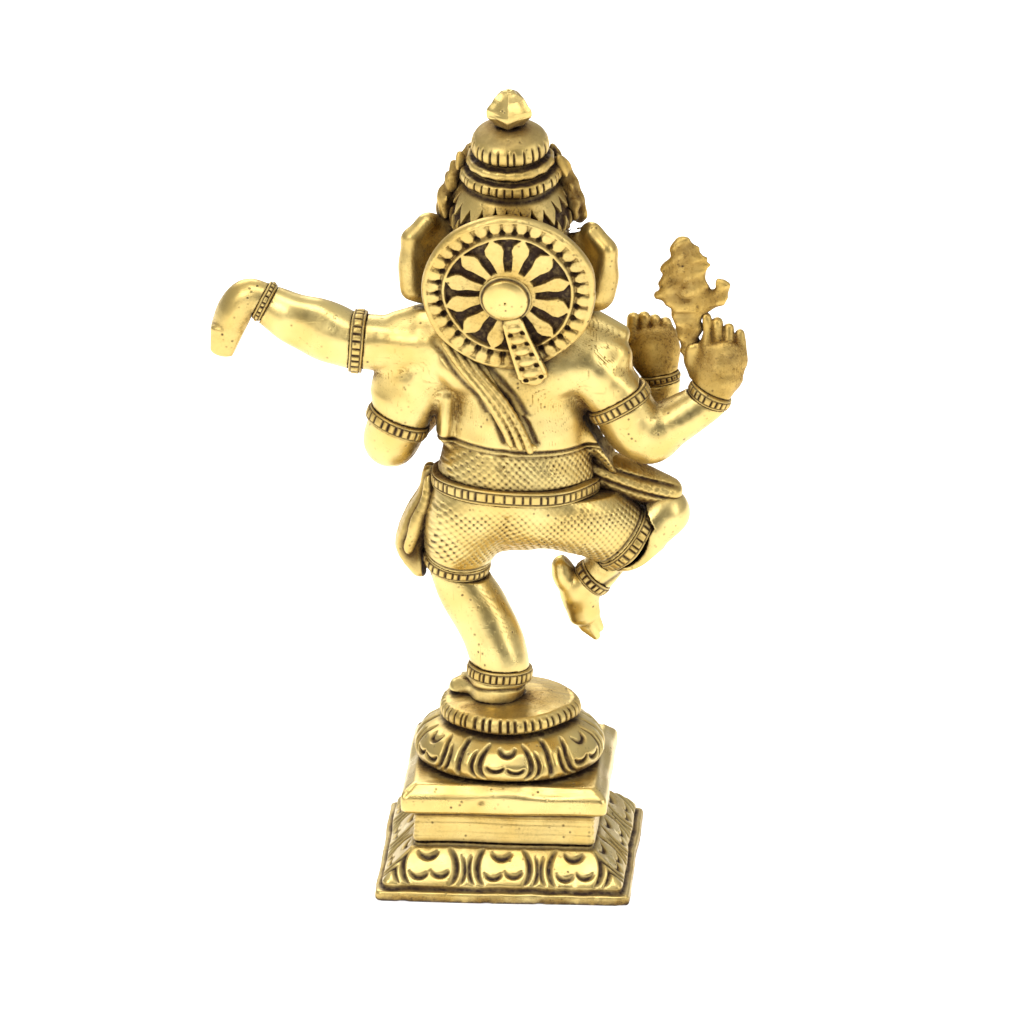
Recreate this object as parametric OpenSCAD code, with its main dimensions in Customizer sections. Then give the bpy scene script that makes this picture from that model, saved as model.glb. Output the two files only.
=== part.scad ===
// Small cast-brass dancing figure with an elephant's head, on a lotus pedestal.
// The figure faces -Y and stands on the plane z = 0. Its own left hand side is +X.
// Castings are joined by round pegs in sockets, and ornament bands cover the joints.

/* [Pedestal] */
// Side of the square plinth where it meets the table
plinth_w = 40.4; // [38:0.1:43]
// Height of the flared plinth, without the slab above it
plinth_h = 8.0; // [7.6:0.1:8.6]
// Wall of the hollow casting under the plinth
plinth_wall = 2.6; // [2:0.1:3.5]
// Side of the overhanging slab
slab_w = 32.6; // [31:0.1:34]
// Largest radius of the lotus cushion
lotus_r = 15.3; // [14.5:0.1:15.8]
// Radius of the ticked disc under the foot
disc_r = 11.1; // [10.5:0.1:12]

/* [Figure] */
// Radius of the pegs that join the limbs
peg_r = 1.3; // [1:0.1:1.5]
// How far each peg goes into its socket
peg_depth = 2.6; // [2:0.1:3]
// Width of a ticked ornament band
band_w = 2.2; // [1.8:0.1:2.6]
// How far a band stands out from its limb
band_proud = 0.4; // [0.2:0.05:0.6]

/* [Head and crown] */
// Radius of the wheel behind the head
wheel_r = 13.8; // [13:0.1:14.5]
// Thickness of the wheel
wheel_t = 1.7; // [1.5:0.1:2.2]
// Backward lean of the crown, in degrees
crown_lean = 8; // [6:0.5:9]

/* [Hidden] */
$fn = 48;
brass = "#C9A24B";
steel = "#8C8F94";
sides = 12;                       // facets around a limb
thin = 0.02;                      // thickness of the discs that a limb is hulled from
spare = 0.1;                      // how far a limb runs past its end stations, to be cut square
gap = 0.02;                       // radial play of a peg in its socket
clear = 0.06;                     // space left between castings that lie against each other

slab_z = plinth_h + 5.4;          // underside of the overhanging slab
slab_edge_h = 3.4;                // its upright edge
lotus_z = slab_z + slab_edge_h + 1.4;
disc_z = lotus_z + 6.7;
disc_edge_h = 2.7;
disc_top_z = disc_z + disc_edge_h + 0.9;
stud_r = 2;
stud_low_z = 1.8;
washer_t = 0.7;
nut_h = 2.2;
hollow_top_z = plinth_h - 2.4;

// Joints: [point on the joint plane, direction away from the body, radius of the limb]
ankle_l = [[1.4, 1.5, 33.8], [0.1, 0, -1], 4.7];
knee_l = [[8.5, -1.8, 49.3], [0.2, -0.2, -1], 5.1];
knee_r = [[-17.8, -2.6, 54.6], [-0.76, -0.15, -0.63], 5.5];
ankle_r = [[-13.6, -6.2, 46.5], [0.7, 0, -0.7], 2.9];
waist = [[-0.9, -0.4, 63.2], [-0.03, 0, 1], 12.6];
arm_rear_l = [[22.8, 0.2, 87.1], [1, -0.02, 0.08], 4.6];
wrist_rear_l = [[38.0, -0.8, 92.8], [0.9, -0.06, 0.42], 3.2];
arm_front_l = [[17.2, -0.2, 75.0], [0.35, -0.05, -0.93], 4.8];
wrist_front_l = [[13.6, -10.6, 72.4], [-0.42, -0.86, 0.3], 2.7];
arm_rear_r = [[-16.7, 0.2, 79.0], [-0.5, -0.05, -0.86], 4.9];
wrist_rear_r = [[-31.2, -1.8, 77.6], [-0.45, -0.06, 0.89], 3.2];
arm_front_r = [[-13.8, -8.6, 79.4], [-0.7, -0.3, -0.62], 3.3];
wrist_front_r = [[-23.4, -11.6, 77.2], [0.2, -0.1, 0.97], 2.9];
neck = [[0, -0.6, 91.6], [0, -0.1, 1], 4.6];

hand_peg_r = 0.9;
waist_peg_r = 2.6;
narrow_band_w = 1.5;
belt_w = 2.4;
belly = [-1.3, -6.2, 73.6];
crown_at = [-0.1, -1.4, 106.6];
wheel_at = [-0.3, 9.0, 99.4];
wheel_lean = 4;
ribbon_lean = 17;
petal_count = 12;
bead_count = 30;

// ---- Helpers -------------------------------------------------------------

function unit(v) = v / norm(v);
function place(s) = [s[0], s[1], s[2]];
function heading(s, i) = unit(place(s[min(i + 1, len(s) - 1)]) - place(s[max(i - 1, 0)]));
// Point on the smooth curve from b to c, which comes from a and goes on to d.
function curve(a, b, c, d, t) =
    0.5 * (2 * b + (c - a) * t + (2 * a - 5 * b + 4 * c - d) * t * t + (3 * b - a - 3 * c + d) * t * t * t);
function smooth(s, n) = [
    for (i = [0 : len(s) - 2], k = [0 : n - 1])
        curve(s[max(i - 1, 0)], s[i], s[i + 1], s[min(i + 2, len(s) - 1)], k / n),
    s[len(s) - 1]];
// Stations of a limb grown all round, to cut its neighbours clear of it.
function grown(stations, by) = [for (s = stations) [s[0], s[1], s[2], s[3] + by, s[4] + by]];
function point_past(joint, distance) = joint[0] + unit(joint[1]) * distance;

// Thin oval at a station, square to a direction. Its first radius has no part along ref.
module disc(s, dir, lift, ref) {
    t = unit(dir);
    u = unit(cross(ref, t));
    v = cross(t, u);
    multmatrix([[u[0], v[0], t[0], s[0]], [u[1], v[1], t[1], s[1]], [u[2], v[2], t[2], s[2]], [0, 0, 0, 1]])
        translate([0, 0, lift]) scale([s[3], s[4], 1]) cylinder(r = 1, h = thin, $fn = sides);
}

// Limb through stations [x, y, z, radius across, radius through], squared to a direction at each end.
module limb(stations, start, end, fine = 2, ref = [0, 1, 0]) {
    s = smooth(stations, fine);
    last = len(s) - 1;
    for (i = [0 : last - 1]) hull() {
        disc(s[i], i == 0 ? start : heading(s, i), i == 0 ? -spare : -thin / 2, ref);
        disc(s[i + 1], i + 1 == last ? end : heading(s, i + 1), i + 1 == last ? spare - thin : -thin / 2, ref);
    }
}

// Stands children on a point, with their Z along a direction.
module along(at, dir) {
    translate(at) rotate([0, acos(unit(dir)[2]), atan2(dir[1], dir[0])]) children();
}

module blob(at, radii, facets = 10) {
    translate(at) scale(radii) sphere(1, $fn = facets);
}

// Rounded bar between two points, with a radius or three radii at each end.
module link(a, ra, b, rb, facets = 10) {
    hull() {
        blob(a, ra, facets);
        blob(b, rb, facets);
    }
}

// Round peg of the outer casting, through a band and into the inner casting.
module peg(joint, width = band_w, r = peg_r) {
    along(joint[0], joint[1]) translate([0, 0, -peg_depth]) cylinder(r = r, h = peg_depth + width + 1);
}

// Socket for a peg in the inner casting, which also ends the casting square at the joint plane.
module socket(joint, r = peg_r) {
    along(joint[0], joint[1]) {
        translate([0, 0, -peg_depth - gap]) cylinder(r = r + gap, h = peg_depth + 1);
        cylinder(r = joint[2] + 1.5, h = 3);
    }
}

// Outer casting, ended square on the far side of its band, with its peg.
module pegged(joint, width = band_w, r = peg_r) {
    difference() {
        union() children();
        along(joint[0], joint[1]) translate([0, 0, width - 6]) cylinder(r = joint[2] + 1.5, h = 6);
    }
    peg(joint, width, r);
}

// Round ornament band between two castings, bored for the peg.
module band(joint, width = band_w, r_peg = peg_r) {
    r = joint[2] + band_proud;
    lip = 0.3;
    color(brass) along(joint[0], joint[1]) rotate_extrude() polygon([
        [r_peg + gap, 0], [r - lip, 0], [r, lip], [r, width - lip], [r - lip, width], [r_peg + gap, width]]);
}

// Round room that a band and its limb take up, for cutting neighbours clear.
module band_room(joint, before, after, extra = clear) {
    along(joint[0], joint[1]) translate([0, 0, -before])
        cylinder(r = joint[2] + band_proud + extra, h = before + after);
}

// Five-fingered hand along a direction. side is the way the thumb points, bend curls the fingers.
module fingers(palm, dir, side, length, bend) {
    d = unit(dir);
    s = unit(side);
    for (f = [-1.5 : 1 : 1.5]) {
        root = palm + s * f * 1.05 + d * 0.6;
        mid = root + d * length * (0.55 - 0.03 * abs(f));
        link(root, 0.8, mid, 0.72, 8);
        link(mid, 0.72, mid + d * length * 0.35 + bend, 0.6, 8);
    }
    link(palm + s * 1.6, 0.8, palm + s * 3.1 + d * length * 0.3, 0.62, 8);
}

// ---- Pedestal ------------------------------------------------------------

// Square moulding with one profile [half width, height] on all four sides.
module square_moulding(profile) {
    outline = concat(profile, [for (i = [len(profile) - 1 : -1 : 0]) [-profile[i][0], profile[i][1]]]);
    intersection() {
        rotate([90, 0, 0]) linear_extrude(60, center = true) polygon(outline);
        rotate([90, 0, 90]) linear_extrude(60, center = true) polygon(outline);
    }
}

module plinth() {
    hollow_w = 29.6 - 2 * plinth_wall;
    half = plinth_w / 2;
    color(brass) difference() {
        square_moulding([[half, 0], [half, 1.2], [half - 0.6, 1.8], [half - 1.8, 2.1], [half - 1.9, 3.4],
            [half - 2.6, 5.2], [half - 3.9, 6.9], [half - 5.4, plinth_h]]);
        translate([-hollow_w / 2, -hollow_w / 2, -1]) cube([hollow_w, hollow_w, hollow_top_z + 1]);
        cylinder(r = stud_r + gap, h = 20);
    }
}

module plinth_slab() {
    waist_half = 14.3;
    half = slab_w / 2;
    color(brass) difference() {
        square_moulding([[waist_half + 0.3, plinth_h], [waist_half, plinth_h + 0.8], [waist_half, slab_z - 0.5],
            [half - 0.4, slab_z], [half, slab_z + 0.4], [half, slab_z + slab_edge_h],
            [half - 0.5, slab_z + slab_edge_h + 0.5], [half - 1.8, lotus_z]]);
        cylinder(r = stud_r + gap, h = 40);
    }
}

module lotus_cushion() {
    color(brass) difference() {
        rotate_extrude() polygon([[0, lotus_z], [lotus_r - 1.5, lotus_z], [lotus_r - 0.4, lotus_z + 0.6],
            [lotus_r, lotus_z + 1.6], [lotus_r - 0.5, lotus_z + 3.0], [lotus_r - 1.9, lotus_z + 4.6],
            [lotus_r - 4.0, lotus_z + 5.9], [lotus_r - 5.3, disc_z], [0, disc_z]]);
        cylinder(r = stud_r + gap, h = 60);
    }
}

module foot_disc() {
    color(brass) difference() {
        rotate_extrude() polygon([[0, disc_z], [disc_r - 0.7, disc_z], [disc_r, disc_z + 0.6],
            [disc_r, disc_z + 1.9], [disc_r - 0.6, disc_z + disc_edge_h], [disc_r * 0.55, disc_top_z],
            [0, disc_top_z]]);
        cylinder(r = stud_r + gap, h = 60);
    }
}

module tie_stud() {
    color(steel) translate([0, 0, stud_low_z]) cylinder(r = stud_r, h = disc_top_z + 2 - stud_low_z);
}

module tie_washer() {
    color(steel) translate([0, 0, hollow_top_z - washer_t]) difference() {
        cylinder(r = 4.6, h = washer_t);
        translate([0, 0, -1]) cylinder(r = stud_r + gap, h = 3);
    }
}

module tie_nut() {
    color(steel) translate([0, 0, hollow_top_z - washer_t - nut_h]) difference() {
        cylinder(r = 3.9, h = nut_h, $fn = 6);
        translate([0, 0, -1]) cylinder(r = stud_r + gap, h = nut_h + 2);
    }
}

// ---- Legs and hips -------------------------------------------------------

module standing_foot() {
    sole_z = disc_top_z;
    top = point_past(ankle_l, band_w);
    color(brass) difference() {
        pegged(ankle_l) {
            limb([[top[0], top[1], top[2], 4.3, 4.3], [1.7, 1.3, 30.0, 4.0, 4.3], [2.2, 1.0, sole_z, 3.7, 4.4]],
                ankle_l[1], [0, 0, -1]);
            link([1.5, 3.2, sole_z + 1.4], [3.0, 2.4, 1.8], [4.6, -2.6, sole_z + 1.3], [3.3, 3.0, 1.7]);
            for (toe = [0 : 4])
                link([4.4 + 0.5 * toe, -3.4 + 0.5 * toe, sole_z + 0.8], 1.1,
                    [3.4 + 1.35 * toe, -7.6 + 0.55 * toe, sole_z + 0.6], 0.85 - 0.05 * toe, 8);
        }
        translate([-20, -20, sole_z - 10]) cube([40, 40, 10]);
        cylinder(r = stud_r + gap, h = disc_top_z + 2 + gap);
    }
}

module standing_anklet() {
    band(ankle_l);
}

module standing_shin() {
    top = point_past(knee_l, band_w - 0.2);
    color(brass) difference() {
        pegged(knee_l, band_w - 0.2) {
            limb([[top[0], top[1], top[2], 4.8, 4.9], [5.6, -0.8, 43.6, 4.5, 4.9], [2.9, 0.8, 38.2, 4.4, 4.7],
                [1.4, 1.5, 33.8, 4.6, 4.6]], [-0.1, -0.2, -1], ankle_l[1]);
        }
        socket(ankle_l);
    }
}

module standing_knee_band() {
    band(knee_l, band_w - 0.2);
}

function left_thigh() = [[5.0, 0.2, 62.0, 6.6, 7.6], [6.4, -0.2, 58.0, 6.8, 7.4], [7.7, -1.0, 53.6, 6.0, 6.3],
    [8.5, -1.8, 49.3, 5.0, 5.0]];
function right_thigh() = [[-3.0, 0.2, 60.6, 7.2, 7.6], [-8.6, 0.4, 59.2, 7.2, 7.6], [-13.6, -1.2, 57.4, 6.3, 6.6],
    [-17.8, -2.6, 54.6, 5.4, 5.4]];

module shorts(by = 0) {
    color(brass) difference() {
        union() {
            limb(grown([[-0.6, -0.6, 56.2, 5.6, 5.0], [-0.8, -0.6, 59.0, 11.2, 8.6], [-0.9, -0.4, 63.2, 12.5, 9.5]], by),
                [0, 0, 1], waist[1]);
            limb(grown(left_thigh(), by), [0.2, -0.1, -1], knee_l[1]);
            limb(grown(right_thigh(), by), [-1, 0.1, -0.2], knee_r[1]);
        }
        if (by == 0) {
            socket(knee_l);
            socket(knee_r);
        }
        along(waist[0], waist[1]) translate([0, 0, by - peg_depth - gap]) cylinder(r = waist_peg_r + gap, h = 20);
        along(waist[0], waist[1]) translate([-20, -20, by]) cube(40);
    }
}

module raised_knee_band() {
    band(knee_r);
}

module raised_shin() {
    color(brass) difference() {
        pegged(knee_r) difference() {
            union() {
                knee_mass();
                limb([[-23.4, -4.8, 56.0, 4.2, 4.3], [-20.4, -5.6, 53.4, 4.0, 4.2], [-17.0, -6.1, 50.2, 3.6, 3.8],
                    [-13.6, -6.2, 46.5, 2.9, 2.9]], [0.7, -0.1, -0.7], ankle_r[1], 3);
            }
            band_room(knee_r, 7, 0, 0.9);
        }
        socket(ankle_r, hand_peg_r);
    }
}

// The bent knee, which the drapery lies on.
module knee_mass(by = 0) {
    start = point_past(knee_r, band_w);
    limb(grown([[start[0], start[1], start[2], 5.0, 5.2], [-22.6, -3.6, 54.4, 4.9, 4.9], [-24.2, -4.2, 57.6, 4.0, 4.2]],
        by), knee_r[1], [0, -0.1, 1]);
    link([-24.4, -4.0, 58.2], [3.8 + by, 4.0 + by, 3.8 + by], [-23.4, -5.0, 55.6], 4.2 + by);
}

module raised_anklet() {
    band(ankle_r, band_w - 0.2, hand_peg_r);
}

module raised_foot() {
    top = point_past(ankle_r, band_w - 0.2);
    color(brass) pegged(ankle_r, band_w - 0.2, hand_peg_r) {
        limb([[top[0], top[1], top[2], 2.7, 2.7], [-11.0, -6.3, 43.7, 2.9, 2.6]], ankle_r[1], [0.5, 0, -0.8]);
        link([-8.2, -6.2, 46.2], [1.7, 1.9, 2.0], [-10.8, -6.4, 43.0], [2.9, 2.4, 2.8]);
        link([-10.8, -6.4, 43.0], [3.0, 2.4, 2.8], [-11.6, -6.8, 39.4], [2.6, 1.9, 2.2]);
        for (toe = [0 : 4])
            link([-10.2 - 0.7 * toe, -6.8, 39.4], 1.0, [-11.6 - 0.6 * toe, -7.2, 36.9 - 0.45 * (toe % 4)], 0.75);
    }
}

// ---- Waist and drapery ---------------------------------------------------

module waist_belt() {
    half = [waist[2] + 0.9, 10.6];
    color(brass) along(waist[0], waist[1]) difference() {
        hull() {
            scale([half[0] - 0.3, half[1] - 0.3, 1]) cylinder(r = 1, h = belt_w, $fn = 32);
            translate([0, 0, 0.3]) scale([half[0], half[1], 1]) cylinder(r = 1, h = belt_w - 0.6, $fn = 32);
        }
        translate([0, 0, -1]) cylinder(r = waist_peg_r + gap, h = belt_w + 2);
    }
}

module side_sash_room(by) {
    limb(grown([[12.8, -2.0, 64.4, 1.2, 3.0], [13.8, -2.2, 61.0, 1.8, 4.0], [15.3, -2.8, 56.6, 2.4, 4.6],
        [15.7, -3.2, 52.8, 2.2, 4.2], [13.8, -3.0, 49.4, 1.6, 3.0]], by), [0.1, 0, -1], [-0.7, 0, -0.8], 3);
}

module side_sash() {
    color(brass) difference() {
        side_sash_room(0);
        band_room(knee_l, 0, band_w);
        shorts(clear);
        torso_core(clear);
        along(waist[0], waist[1]) translate([0, 0, -clear])
            scale([waist[2] + 0.9 + clear, 10.6 + clear, 1]) cylinder(r = 1, h = belt_w + 2 * clear, $fn = 32);
    }
}

module thigh_sash() {
    color(brass) difference() {
        limb([[-9.6, -3.6, 67.0, 2.8, 3.0], [-14.8, -3.4, 65.4, 3.0, 3.4], [-20.2, -3.8, 62.6, 2.8, 3.4],
            [-25.6, -4.2, 60.8, 1.7, 2.6]], [-1, 0, -0.1], [-1, 0, -0.3], 3);
        shorts(clear);
        torso_core(clear);
        knee_mass(clear);
        along(waist[0], waist[1]) translate([0, 0, -clear])
            scale([waist[2] + 0.9 + clear, 10.6 + clear, 1]) cylinder(r = 1, h = belt_w + 2 * clear, $fn = 32);
        band_room(knee_r, 0, band_w);
    }
}

// ---- Torso ---------------------------------------------------------------

torso_low = point_past(waist, belt_w);

module torso_core(by = 0) {
    limb(grown([[torso_low[0], torso_low[1], torso_low[2], 12.4, 9.4], [-1.2, -1.0, 69.0, 11.8, 9.4],
        [-1.3, -2.4, 74.0, 11.8, 10.6], [-1.0, -1.6, 80.0, 10.8, 9.4], [-0.3, -0.2, 85.4, 11.0, 7.6],
        [0, 0.2, 89.2, 8.4, 6.2], [0, -0.6, 91.6, 4.8, 4.8]], by), waist[1], neck[1]);
    link(belly + [0, 0, 1.6], [9.2 + by, 8.4 + by, 7.6 + by], belly - [0, 0, 1.6], [9.4 + by, 8.2 + by, 7.0 + by]);
}

module torso_arms(by = 0) {
    limb(grown([[6.0, 0.2, 86.8, 4.6, 4.8], [12.0, 0.6, 87.4, 4.8, 4.8], [17.4, 0.4, 87.0, 4.5, 4.6],
        [22.8, 0.2, 87.1, 4.4, 4.4]], by), [1, 0, 0], arm_rear_l[1]);
    limb(grown([[9.6, 0.0, 86.4, 5.6, 5.0], [14.2, 0.0, 80.8, 5.1, 4.8], [17.2, -0.2, 75.0, 4.7, 4.6]], by),
        [0.5, 0, -0.8], arm_front_l[1]);
    limb(grown([[-6.0, 0.2, 86.6, 5.0, 5.0], [-11.6, 0.6, 84.6, 5.4, 5.2], [-16.7, 0.2, 79.0, 4.8, 4.8]], by),
        [-1, 0, -0.1], arm_rear_r[1]);
    limb(grown([[-7.0, -3.0, 84.6, 3.8, 3.8], [-11.2, -6.6, 81.8, 3.5, 3.5], [-13.8, -8.6, 79.4, 3.2, 3.2]], by),
        [-0.8, -0.4, -0.3], arm_front_r[1]);
}

module torso() {
    color(brass) difference() {
        union() {
            difference() {
                union() {
                    torso_core();
                    torso_arms();
                }
                along(waist[0], waist[1]) translate([-20, -20, belt_w - 40]) cube(40);
            }
            along(waist[0], waist[1]) translate([0, 0, -peg_depth])
                cylinder(r = waist_peg_r, h = peg_depth + belt_w + 1);
        }
        for (joint = [arm_rear_l, arm_front_l, arm_rear_r, arm_front_r]) socket(joint);
        socket(neck, waist_peg_r);
    }
}

// Cord of three strands from the left shoulder down across the back.
module sacred_thread() {
    path = [[8.6, 6.2, 89.6], [5.6, 8.0, 85.4], [1.6, 8.6, 80.6], [-1.2, 8.4, 76.4], [-2.4, 8.4, 72.6]];
    color(brass) difference() {
        limb([for (p = path) [p[0], p[1], p[2], 2.2, 1.1]], [-0.5, 0.2, -0.9], [-0.3, 0, -1]);
        torso_core(clear);
        torso_arms(clear);
        wheel_room();
    }
}

module necklace() {
    path = [[9.0, -3.6, 90.0], [6.6, -7.0, 87.0], [0, -8.6, 84.4], [-6.6, -7.0, 87.0], [-9.0, -3.6, 90.0]];
    color(brass) difference() {
        limb([for (p = path) [p[0], p[1], p[2], 1.0, 1.0]], [-0.5, -0.6, -0.6], [-0.5, 0.6, 0.6], 3, [0, 0, 1]);
        torso_core(clear);
        torso_arms(clear);
        head_mass(clear);
        nose(clear);
    }
}

// ---- Arms ----------------------------------------------------------------

module rear_left_armlet() {
    band(arm_rear_l);
}

module rear_left_forearm() {
    top = point_past(arm_rear_l, band_w);
    color(brass) difference() {
        pegged(arm_rear_l) {
            limb([[top[0], top[1], top[2], 4.4, 4.4], [29.0, -0.2, 89.0, 4.5, 4.2], [34.0, -0.4, 91.2, 3.9, 3.6],
                [38.0, -0.8, 92.8, 3.2, 2.9]], arm_rear_l[1], wrist_rear_l[1], 3);
        }
        socket(wrist_rear_l, hand_peg_r);
    }
}

module rear_left_bracelet() {
    band(wrist_rear_l, narrow_band_w, hand_peg_r);
}

module rear_left_hand() {
    top = point_past(wrist_rear_l, narrow_band_w);
    color(brass) pegged(wrist_rear_l, narrow_band_w, hand_peg_r) {
        limb([[top[0], top[1], top[2], 2.7, 2.6], [41.4, -1.2, 94.3, 2.8, 2.8], [43.6, -1.6, 92.2, 2.5, 3.2],
            [45.0, -1.8, 88.8, 2.1, 3.2]], wrist_rear_l[1], [0.3, 0, -1]);
        for (f = [-1.5 : 1 : 1.5])
            link([44.8, -1.8 + 1.5 * f, 89.4], 1.3, [46.2, -2.0 + 1.3 * f, 84.4 + 0.5 * abs(f)], 1.0, 8);
        link([42.6, -4.2, 91.0], 1.2, [42.0, -5.0, 87.8], 0.9, 8);
    }
}

module front_left_armlet() {
    band(arm_front_l);
}

module front_left_forearm() {
    top = point_past(arm_front_l, band_w);
    color(brass) difference() {
        pegged(arm_front_l) {
            limb([[top[0], top[1], top[2], 4.6, 4.5], [18.9, -1.0, 70.4, 4.2, 4.2], [18.6, -2.6, 68.8, 3.4, 3.6]],
                arm_front_l[1], [0, -0.8, -0.6]);
            link([18.9, -0.8, 70.4], 4.1, [18.0, -3.4, 69.8], 3.7);
            limb([[18.2, -2.6, 69.9, 3.7, 3.7], [16.6, -6.0, 70.7, 3.3, 3.3], [13.6, -10.6, 72.4, 2.6, 2.6]],
                [-0.1, -1, 0.1], wrist_front_l[1], 4, [0, 0, 1]);
        }
        socket(wrist_front_l, hand_peg_r);
        torso_core(clear);
        side_sash_room(clear);
    }
}

module front_left_bracelet() {
    band(wrist_front_l, narrow_band_w, hand_peg_r);
}

module front_left_hand() {
    top = point_past(wrist_front_l, narrow_band_w);
    color(brass) difference() {
        pegged(wrist_front_l, narrow_band_w, hand_peg_r) {
            limb([[top[0], top[1], top[2], 2.4, 2.2], [11.6, -14.0, 73.8, 2.6, 2.0], [10.4, -16.0, 74.6, 2.2, 1.4]],
                wrist_front_l[1], [-0.4, -0.8, 0.3], 3, [0, 0, 1]);
            fingers([10.6, -15.6, 74.4], [-0.5, -0.8, 0.35], [0.75, -0.6, 0.1], 3.0, [0, 0, 1.0]);
        }
        translate(sweet_at) sphere(sweet_r + 2 * clear, $fn = 32);
    }
}

sweet_at = [10.4, -15.4, 77.6];
sweet_r = 2.2;

// Round sweet with a pointed, pleated top, held up to the trunk.
module sweet() {
    color(brass) difference() {
        union() {
            translate(sweet_at) sphere(sweet_r, $fn = 32);
            translate(sweet_at + [0, 0, sweet_r * 0.8]) cylinder(r1 = 1.3, r2 = 0.4, h = 1.5, $fn = 24);
        }
        translate(sweet_at - [0, 0, sweet_r + 0.25]) cylinder(r = 2, h = 0.5);
    }
}

module rear_right_armlet() {
    band(arm_rear_r);
}

module rear_right_forearm() {
    top = point_past(arm_rear_r, band_w);
    color(brass) difference() {
        pegged(arm_rear_r) {
            limb([[top[0], top[1], top[2], 4.8, 4.7], [-19.8, -0.2, 73.6, 4.7, 4.6], [-22.0, -0.6, 71.4, 3.9, 4.2]],
                arm_rear_r[1], [-0.8, 0, -0.5]);
            link([-20.4, -0.3, 73.2], 4.5, [-23.4, -0.7, 71.9], 4.1);
            limb([[-22.6, -0.6, 71.9, 4.2, 4.2], [-27.4, -1.2, 73.6, 4.0, 4.0], [-31.2, -1.8, 77.6, 3.1, 3.1]],
                [-1, -0.1, 0], wrist_rear_r[1], 4);
        }
        socket(wrist_rear_r, hand_peg_r);
    }
}

module rear_right_bracelet() {
    band(wrist_rear_r, narrow_band_w + 0.4, hand_peg_r);
}

axe_low = [-29.2, -3.4, 83.4];
axe_neck = [-28.2, -3.0, 93.4];
axe_tip = [-27.8, -2.6, 104.0];

module rear_right_hand() {
    top = point_past(wrist_rear_r, narrow_band_w + 0.4);
    color(brass) difference() {
        pegged(wrist_rear_r, narrow_band_w + 0.4, hand_peg_r) {
            limb([[top[0], top[1], top[2], 3.0, 2.8], [-33.4, -2.0, 82.0, 3.8, 2.4], [-33.7, -2.2, 85.8, 3.8, 1.9]],
                wrist_rear_r[1], [-0.1, 0, 1]);
            for (f = [0 : 3])
                link([-31.2 - 1.7 * f, -2.2, 86.4 - 0.4 * f], 1.25, [-30.8 - 1.7 * f, -3.4, 90.2 - 0.9 * f], 0.9, 8);
            link([-31.4, -3.8, 82.4], 1.3, [-28.0, -5.2, 85.0], 0.9, 8);
        }
        axe_shaft(clear);
    }
}

module axe_shaft(by = 0) {
    hull() {
        blob(axe_low, [0.9 + by, 0.9 + by, 0.9 + by]);
        blob(axe_neck, [2.3 + by, 0.9 + by, 1.2 + by]);
    }
}

// Flat blade with a spear point between a barb and a hook.
module axe() {
    shoulder = axe_neck + [0.2, 0, 2.6];
    color(brass) union() {
        axe_shaft();
        link(axe_neck, [2.6, 1.0, 1.0], shoulder, [3.6, 0.9, 1.2]);
        link(shoulder, [3.6, 0.9, 1.4], axe_tip - [0, 0, 4.2], [2.2, 0.8, 1.0]);
        link(axe_tip - [0, 0, 4.2], [2.2, 0.8, 1.0], axe_tip - [0, 0, 0.7], [0.8, 0.6, 0.6]);
        link(shoulder + [2.6, 0, -0.8], [1.2, 0.8, 0.9], shoulder + [5.0, 0, -0.6], [0.8, 0.6, 0.8]);
        link(shoulder - [2.4, 0, 1.6], [1.2, 0.8, 1.0], shoulder - [4.8, 0, 1.2], [1.2, 0.7, 1.2]);
        link(shoulder - [4.8, 0, 1.2], [1.2, 0.7, 1.2], shoulder - [6.2, 0, -0.2], [0.8, 0.6, 0.8]);
    }
}

module front_right_armlet() {
    band(arm_front_r, narrow_band_w);
}

module front_right_forearm() {
    top = point_past(arm_front_r, narrow_band_w);
    color(brass) difference() {
        pegged(arm_front_r, narrow_band_w) {
            limb([[top[0], top[1], top[2], 3.1, 3.1], [-17.4, -10.2, 76.4, 3.1, 3.1], [-18.8, -10.8, 75.2, 2.6, 2.8]],
                arm_front_r[1], [-0.7, -0.3, -0.2]);
            link([-17.6, -10.2, 75.8], 3.1, [-20.6, -11.0, 72.8], 3.2);
            limb([[-20.6, -11.0, 72.8, 3.2, 3.2], [-22.6, -11.3, 74.8, 3.2, 3.1], [-23.4, -11.6, 77.2, 2.8, 2.8]],
                [-0.6, -0.1, 0.6], wrist_front_r[1]);
        }
        socket(wrist_front_r, hand_peg_r);
    }
}

module front_right_bracelet() {
    band(wrist_front_r, narrow_band_w, hand_peg_r);
}

module front_right_hand() {
    top = point_past(wrist_front_r, narrow_band_w);
    color(brass) pegged(wrist_front_r, narrow_band_w, hand_peg_r) {
        limb([[top[0], top[1], top[2], 2.7, 2.4], [-22.4, -12.2, 81.4, 3.9, 2.0], [-21.8, -12.5, 84.6, 3.9, 1.6]],
            wrist_front_r[1], [0.15, 0, 1]);
        for (f = [-1.5 : 1 : 1.5])
            link([-21.8 + 1.9 * f, -12.4, 84.0], 1.2, [-21.4 + 1.7 * f, -13.2, 87.4 - 0.5 * abs(f - 0.8)], 0.95, 8);
        link([-18.8, -12.6, 81.0], 1.1, [-18.2, -13.4, 84.2], 0.8, 8);
    }
}

// ---- Head ----------------------------------------------------------------

module head_mass(by = 0) {
    limb(grown([[neck[0][0], neck[0][1], neck[0][2], 4.6, 4.6], [0, -1.4, 94.6, 8.0, 7.6],
        [0, -2.2, 98.6, 9.6, 9.8], [0, -1.8, 102.6, 9.6, 9.8], [0, -1.4, 106.2, 8.4, 8.6]], by), neck[1], [0, 0, 1]);
    for (side = [-1, 1])
        link([side * 3.4, -6.4, 103.0], 4.0 + by, [side * 4.6, -7.2, 97.6], 3.4 + by);
}

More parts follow.
